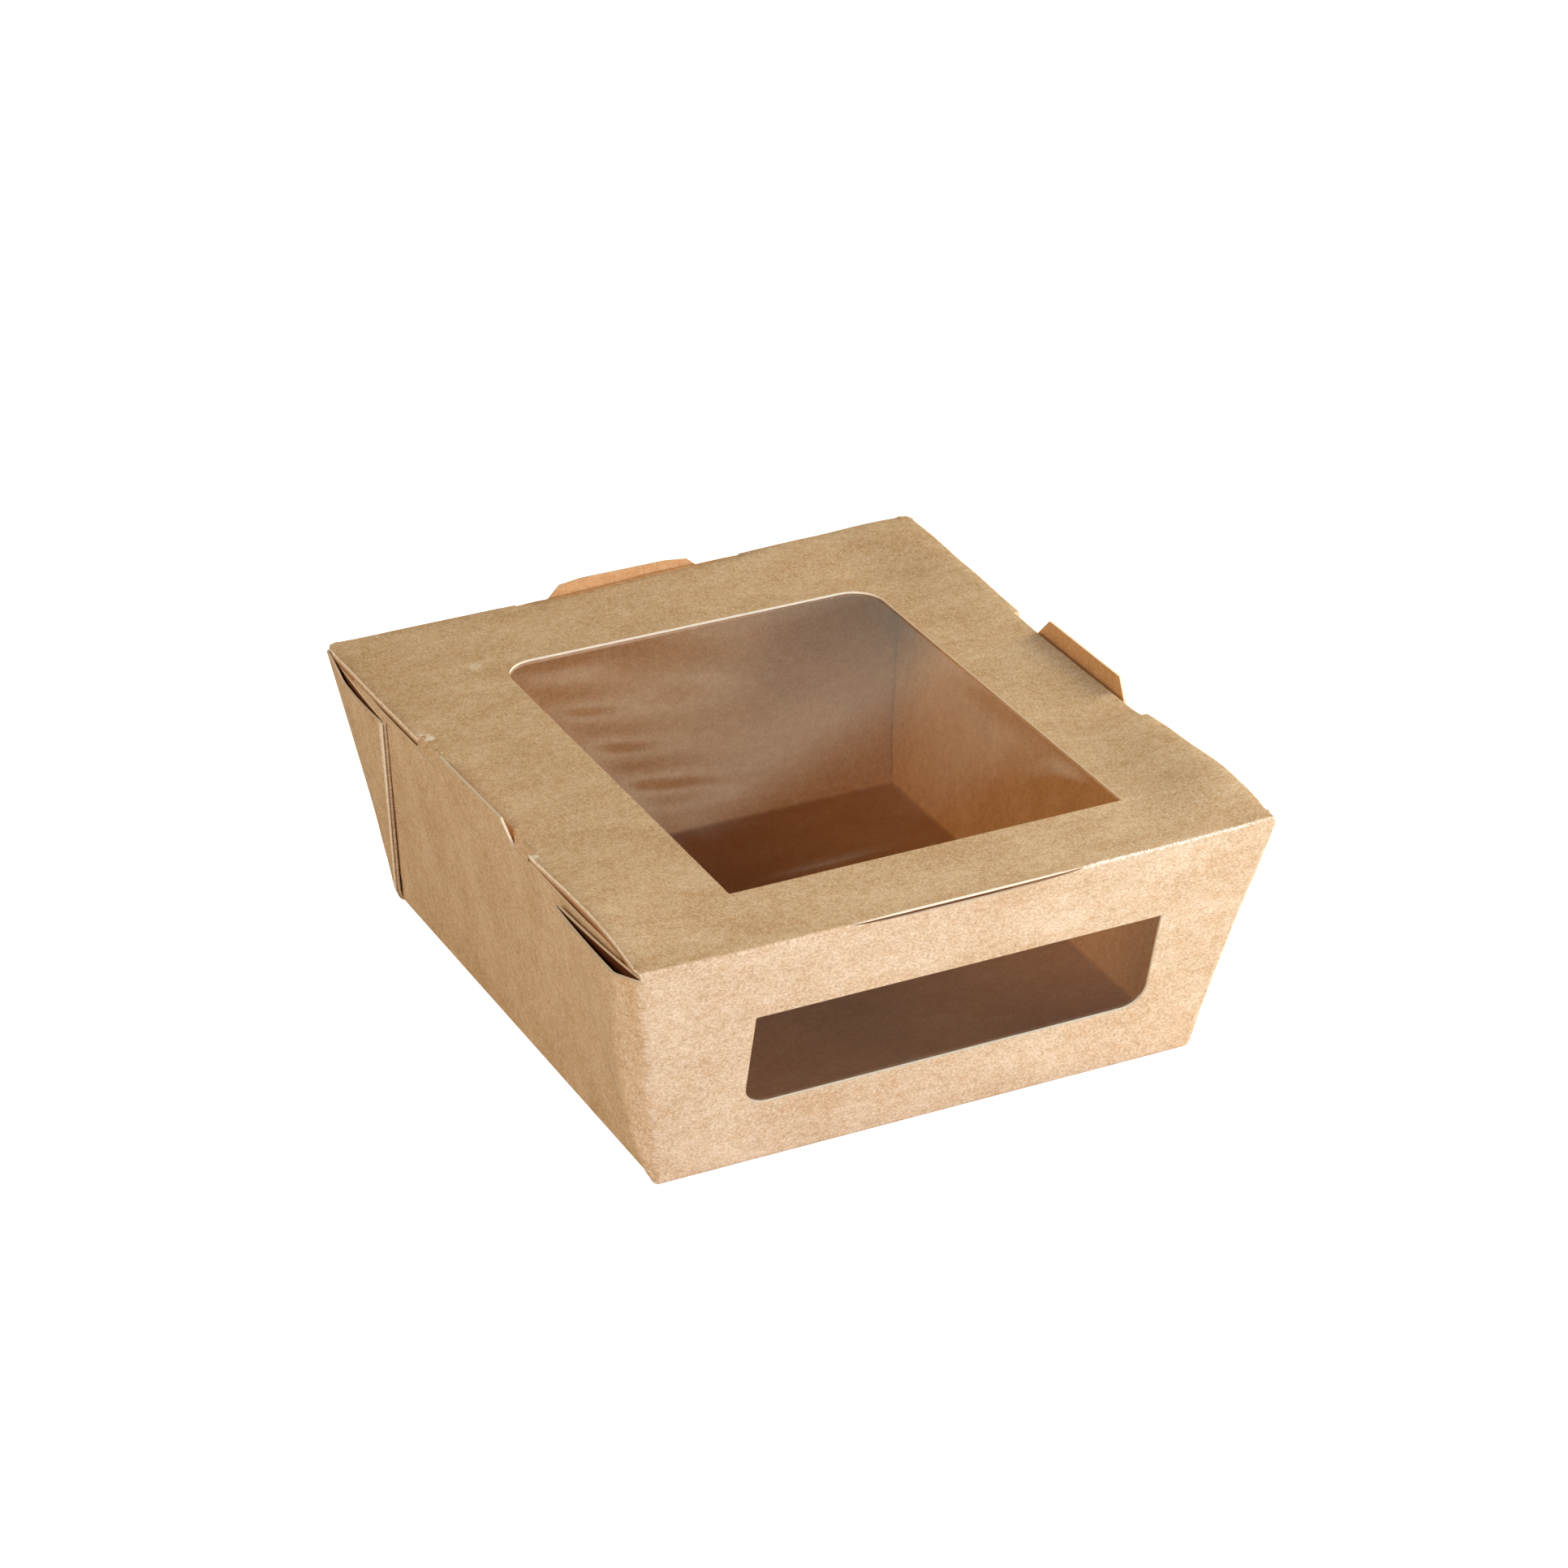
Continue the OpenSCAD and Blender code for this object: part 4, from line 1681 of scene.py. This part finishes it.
@dataclass
class Studio:
    """The pale floor, the soft lamps, the background and the camera."""

    sizes: BoxSizes
    lamps: tuple[Lamp, ...] = (
        Lamp("near right fill", 38.0, 25.0, 0.5, 0.3, 1.6, "#E4F2FF"),
        Lamp("low front fill", 0.0, 6.0, 0.9, 0.4, 7.0, "#D2DCFF"),
        Lamp("right low", 98.0, 14.0, 0.9, 0.5, 12.0, "#FFF6DA"),
        Lamp("left high", -75.0, 37.0, 1.1, 0.5, 5.3, "#FFF4E2"),
        Lamp("left low", -85.0, 14.0, 1.1, 0.8, 2.7, "#FFF4E8"),
    )
    ambient: float = 0.03
    veil_white: float = 0.7
    veil_colour: str = "#FBFFE6"
    veil_start: tuple[float, float, float] = (0.8, 0.712, 0.79)
    veil_end: tuple[float, float, float] = (0.334, 0.609, 0.590)
    floor_white: float = 0.8

    def build(self) -> None:
        """Set the whole studio."""
        self.set_world()
        self.lay_floor()
        for lamp in self.lamps:
            self.hang(lamp)
        self.set_camera()
        bpy.context.scene.view_settings.view_transform = "Standard"

    @staticmethod
    def sort_rays(
        tree: bpy.types.NodeTree, beyond: float = 0.0
    ) -> tuple[bpy.types.NodeSocket, bpy.types.NodeSocket]:
        """Tell rays that look straight at the studio from those that mirror it.

        A ray that looks straight through film has turned an even number of times.

        Args:
            tree: the node tree.
            beyond: turns that the tree counts beyond the ray's own, 1 in the world's tree.

        Returns:
            Sockets that are 1 for a direct look and for a mirrored one.
        """
        path = add_node(tree, "ShaderNodeLightPath")
        turns = add_sum(tree, "ADD", path.outputs["Ray Depth"], beyond)
        even = add_sum(tree, "SUBTRACT", 1.0, add_sum(tree, "MODULO", turns, 2.0))
        through = add_sum(tree, "MULTIPLY", path.outputs["Is Transmission Ray"], even)
        seen = add_sum(tree, "MAXIMUM", path.outputs["Is Camera Ray"], through)
        bounced = add_sum(tree, "MAXIMUM", path.outputs["Is Glossy Ray"], path.outputs["Is Transmission Ray"])
        return seen, add_sum(tree, "SUBTRACT", bounced, through)

    def set_world(self) -> None:
        """White background to the eye, a plainer even light for the object."""
        world = bpy.data.worlds.new("studio surround")
        bpy.context.scene.world = world
        world.use_nodes = True
        tree = world.node_tree
        tree.nodes.clear()
        seen, bounced = self.sort_rays(tree, beyond=1.0)
        way = add_node(tree, "ShaderNodeTexCoord").outputs["Generated"]
        sides = []
        for tilt, dark, bright in (self.veil_start, self.veil_end):
            rise = add_node(tree, "ShaderNodeVectorMath", {0: way, 1: (tilt, 0.0, 1.0)}, operation="DOT_PRODUCT")
            sides.append(add_ramp(tree, rise.outputs["Value"], dark, bright))
        mirrored = add_sum(tree, "MULTIPLY", add_sum(tree, "MULTIPLY", *sides), self.veil_white)
        level = add_node(tree, "ShaderNodeMix", {0: bounced, 2: self.ambient, 3: mirrored}, data_type="FLOAT")
        strength = add_node(tree, "ShaderNodeMix", {0: seen, 2: level.outputs[0], 3: 1.0}, data_type="FLOAT")
        colour = add_blend(tree, bounced, (1, 1, 1, 1), hex_colour(self.veil_colour))
        glow = add_node(tree, "ShaderNodeBackground", {"Color": colour, "Strength": strength.outputs[0]})
        add_node(tree, "ShaderNodeOutputWorld", {"Surface": glow.outputs[0]})

    def lay_floor(self) -> None:
        """Lay a pale floor that reads white and keeps the box's shadow."""
        bpy.ops.object.select_all(action="DESELECT")
        bpy.ops.mesh.primitive_plane_add(size=8.0, location=(0, 0, 0))
        floor = bpy.context.object
        floor.name = "studio_floor"
        material = bpy.data.materials.new("white paper sweep")
        material.use_nodes = True
        tree = material.node_tree
        tree.nodes.clear()
        seen, bounced = self.sort_rays(tree)
        tone = add_blend(tree, bounced, hex_colour("#ECEBE9"), hex_colour("#8F8C84"))
        paper = add_node(tree, "ShaderNodeBsdfDiffuse", {"Color": tone})
        glow = add_node(
            tree, "ShaderNodeEmission", {"Color": (1, 1, 1, 1), "Strength": self.floor_white}
        )
        both = add_node(tree, "ShaderNodeAddShader", {0: paper.outputs[0], 1: glow.outputs[0]})
        shown = add_node(
            tree, "ShaderNodeMixShader",
            {0: seen, 1: paper.outputs[0], 2: both.outputs[0]},
        )
        add_node(tree, "ShaderNodeOutputMaterial", {"Surface": shown.outputs[0]})
        floor.data.materials.append(material)

    def hang(self, lamp: Lamp) -> None:
        """Hang one area lamp and aim it at the box.

        Args:
            lamp: its place, size, power and colour.
        """
        turn, rise = math.radians(lamp.azimuth), math.radians(lamp.elevation)
        away = Vector((math.sin(turn) * math.cos(rise), -math.cos(turn) * math.cos(rise), math.sin(rise)))
        target = Vector((0, 0, self.sizes.height / 2 * MM))
        bpy.ops.object.light_add(type="AREA", location=target + away * lamp.distance)
        light = bpy.context.object
        light.name = lamp.name
        light.rotation_euler = (-away).to_track_quat("-Z", "Y").to_euler()
        light.data.shape = "DISK"
        light.data.size = lamp.size
        light.data.energy = lamp.power
        light.data.color = hex_colour(lamp.colour)[:3]

    def set_camera(self) -> None:
        """Stand the camera where the photograph was taken from, for a square frame."""
        azimuth, elevation, roll = math.radians(-26.707), math.radians(27.729), math.radians(0.203)
        focal_px, frame_px, sensor = 6146.8, 1932.0, 36.0
        bpy.ops.object.camera_add(location=(-0.40287, -0.80050, 0.51480))
        camera = bpy.context.object
        camera.name = "photograph view"
        camera.data.sensor_width = sensor
        camera.data.lens = focal_px / frame_px * sensor
        camera.data.clip_start, camera.data.clip_end = 0.05, 20.0
        back = Vector((
            math.sin(azimuth) * math.cos(elevation), -math.cos(azimuth) * math.cos(elevation), math.sin(elevation)
        ))
        right = Vector((0, 0, 1)).cross(back).normalized()
        up = back.cross(right)
        turned = Matrix((
            right * math.cos(roll) + up * math.sin(roll), up * math.cos(roll) - right * math.sin(roll), back
        )).transposed()
        camera.rotation_euler = turned.to_euler()
        bpy.context.scene.camera = camera


def main() -> None:
    """Build the box and its studio, piece by piece."""
    logging.basicConfig(level=logging.INFO, format="%(name)s: %(message)s")
    sizes, warp, finishes = BoxSizes(), Warp(), Finishes()
    lid_window = WindowCut(left=-40.5, right=45.7, near=-57.2, far=51.2, radius=7.0)
    front_window = WindowCut(left=-42.5, right=46.1, near=18.6, far=42.3, radius=5.2)
    Tray(sizes, warp, front_window, finishes).build()
    Lid(sizes, warp, lid_window, finishes).build()
    Crease(sizes, warp, finishes).build()
    below = sizes.board / 2 + 0.07

    def on_lid(x: float, y: float) -> tuple[float, float, float]:
        """Place under the lid's board."""
        return (x, y, sizes.lid_z + warp.lid_lift(x, y, sizes) - below)

    def on_front(x: float, down: float) -> tuple[float, float, float]:
        """Place behind the front panel, down from the crease along the panel."""
        z = (sizes.front_slant - down) * math.cos(sizes.front_lean)
        y = -sizes.front_mid(z) - warp.front_bow(x, z, sizes.seam_z)
        return (x, y + below * math.cos(sizes.front_lean), z + below * math.sin(sizes.front_lean))

    dents = ((-8.0, 33.0, 18.0, 0.16), (41.0, -46.0, 13.0, 0.05))
    pane = WindowFilm("lid_film", lid_window, on_lid, pitch=1.6, ripple=0.05, dents=dents)
    pane.build(finishes, "lid", "lid_window_film")
    WindowFilm("front_film", front_window, on_front).build(finishes, "tray", "front_window_film")
    Studio(sizes).build()


if __name__ == "__main__":
    main()
